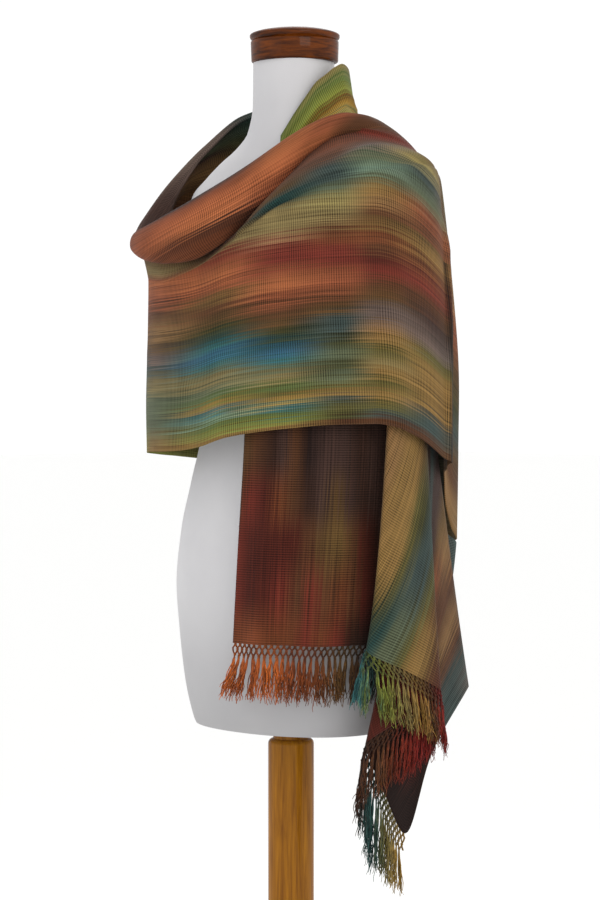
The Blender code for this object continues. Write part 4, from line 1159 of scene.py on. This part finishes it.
# The stand: turned wood under gloss varnish.
capTable = (
    ("rise", "radius"),
    (0.0000, 0.0500), (0.0008, 0.0514), (0.0020, 0.0520), (0.0240, 0.0528), (0.0250, 0.0524), (0.0258, 0.0513),
    (0.0262, 0.0510), (0.0268, 0.0516), (0.0282, 0.0530), (0.0300, 0.0538), (0.0320, 0.0540), (0.0334, 0.0533),
    (0.0345, 0.0515), (0.0360, 0.0475), (0.0372, 0.0430), (0.0386, 0.0360), (0.0396, 0.0290), (0.0406, 0.0200),
    (0.0412, 0.0120), (0.0414, 0.0040),
)
stand = {
    "capSeat": 1.5313, "capBehind": 0.0065,
    "poleRadius": 0.0275, "poleFoot": 0.0263, "poleTop": 0.7377, "shoulder": 0.006, "shoulderTop": 0.7215,
    "baseRadius": 0.180, "baseThick": 0.026, "baseEdge": 0.005,
    "sides": 128,
    "redBrown": ("#6B3304", "#2E1102"), "amber": ("#A26A10", "#6E3F04"),  # light and dark streaks
    "capGrain": (30.0, 30.0, 260.0), "poleGrain": (220.0, 220.0, 9.0),  # streaks in a metre
    "baseGrain": (220.0, 9.0, 220.0),
    "capCoat": 0.2, "amberCoat": 0.25,
}


# Turned hardwood, stained and gloss varnished: long grain streaks under a clear coat.
def varnishedWood(name, streaks, grain, coat):
    material = newMaterial(name)
    tree = material.node_tree
    place = addNode(tree, "ShaderNodeTexCoord").outputs["Object"]
    stretched = addNode(tree, "ShaderNodeMapping", {}, {"Vector": place, "Scale": grain})
    streak = addNode(tree, "ShaderNodeTexNoise", {}, {"Vector": stretched.outputs[0], "Scale": 1.0, "Detail": 5.0,
                                                      "Roughness": 0.62, "Distortion": 0.5})
    share = addNode(tree, "ShaderNodeMapRange", {}, {"Value": streak.outputs[0], "From Min": 0.33, "From Max": 0.68})
    light, dark = (linear(code) for code in streaks)
    tone = addNode(tree, "ShaderNodeMix", {"data_type": "RGBA"}, {0: share.outputs[0], 6: dark, 7: light})
    bump = addNode(tree, "ShaderNodeBump", {}, {"Height": streak.outputs[0], "Distance": 0.0002, "Strength": 0.3})
    shader = addNode(tree, "ShaderNodeBsdfPrincipled", {}, {
        "Base Color": tone.outputs[2], "Roughness": 0.5, "Specular IOR Level": 0.06, "Coat Weight": coat,
        "Coat Roughness": 0.06, "Normal": bump.outputs[0]})
    addNode(tree, "ShaderNodeOutputMaterial", {}, {"Surface": shader.outputs["BSDF"]})
    return material


def turnedPiece(name, profile, node, material, behind=0.0):
    turns = np.arange(stand["sides"]) * 360 / stand["sides"]
    rings = np.array([around(turns, radius, height) + (0, behind, 0) for radius, height in profile])
    piece = stackedRings(name, rings, material)
    piece.data.set_sharp_from_angle(angle=math.radians(35))
    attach(piece, "root")
    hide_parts(node)


def roundedEdge(radius, top, edge, steps=5):
    return [(radius - edge + edge * math.cos(a), top - edge + edge * math.sin(a))
            for a in np.linspace(0, math.pi / 2, steps)]


def makeStand():
    redBrown = varnishedWood("stained turned wood, gloss varnish", stand["redBrown"], stand["capGrain"],
                             stand["capCoat"])
    amber = varnishedWood("amber turned wood, gloss varnish", stand["amber"], stand["poleGrain"],
                          stand["amberCoat"])
    cap = [(radius, stand["capSeat"] + rise) for rise, radius in capTable[1:]]
    turnedPiece("capWood", cap, "neck_cap", redBrown, stand["capBehind"])
    pole = [(stand["poleRadius"], stand["poleFoot"])]
    pole += roundedEdge(stand["poleRadius"], stand["shoulderTop"], stand["shoulder"])
    pole.append((stand["poleRadius"] - stand["shoulder"], stand["poleTop"]))
    turnedPiece("poleWood", pole, "pole", amber)
    amberBase = varnishedWood("amber wood of the base, gloss varnish", stand["amber"], stand["baseGrain"],
                              stand["amberCoat"])
    base = [(stand["baseRadius"], 0.0)] + roundedEdge(stand["baseRadius"], stand["baseThick"], stand["baseEdge"])
    turnedPiece("baseWood", base, "base", amberBase)
    print("stand made")


makeCamera()
makeStudio()
makeForm()
makeStand()
makeFringes()
makeFrontWrap()
makeBackStretch()
makeNearEnd()
makeTail()
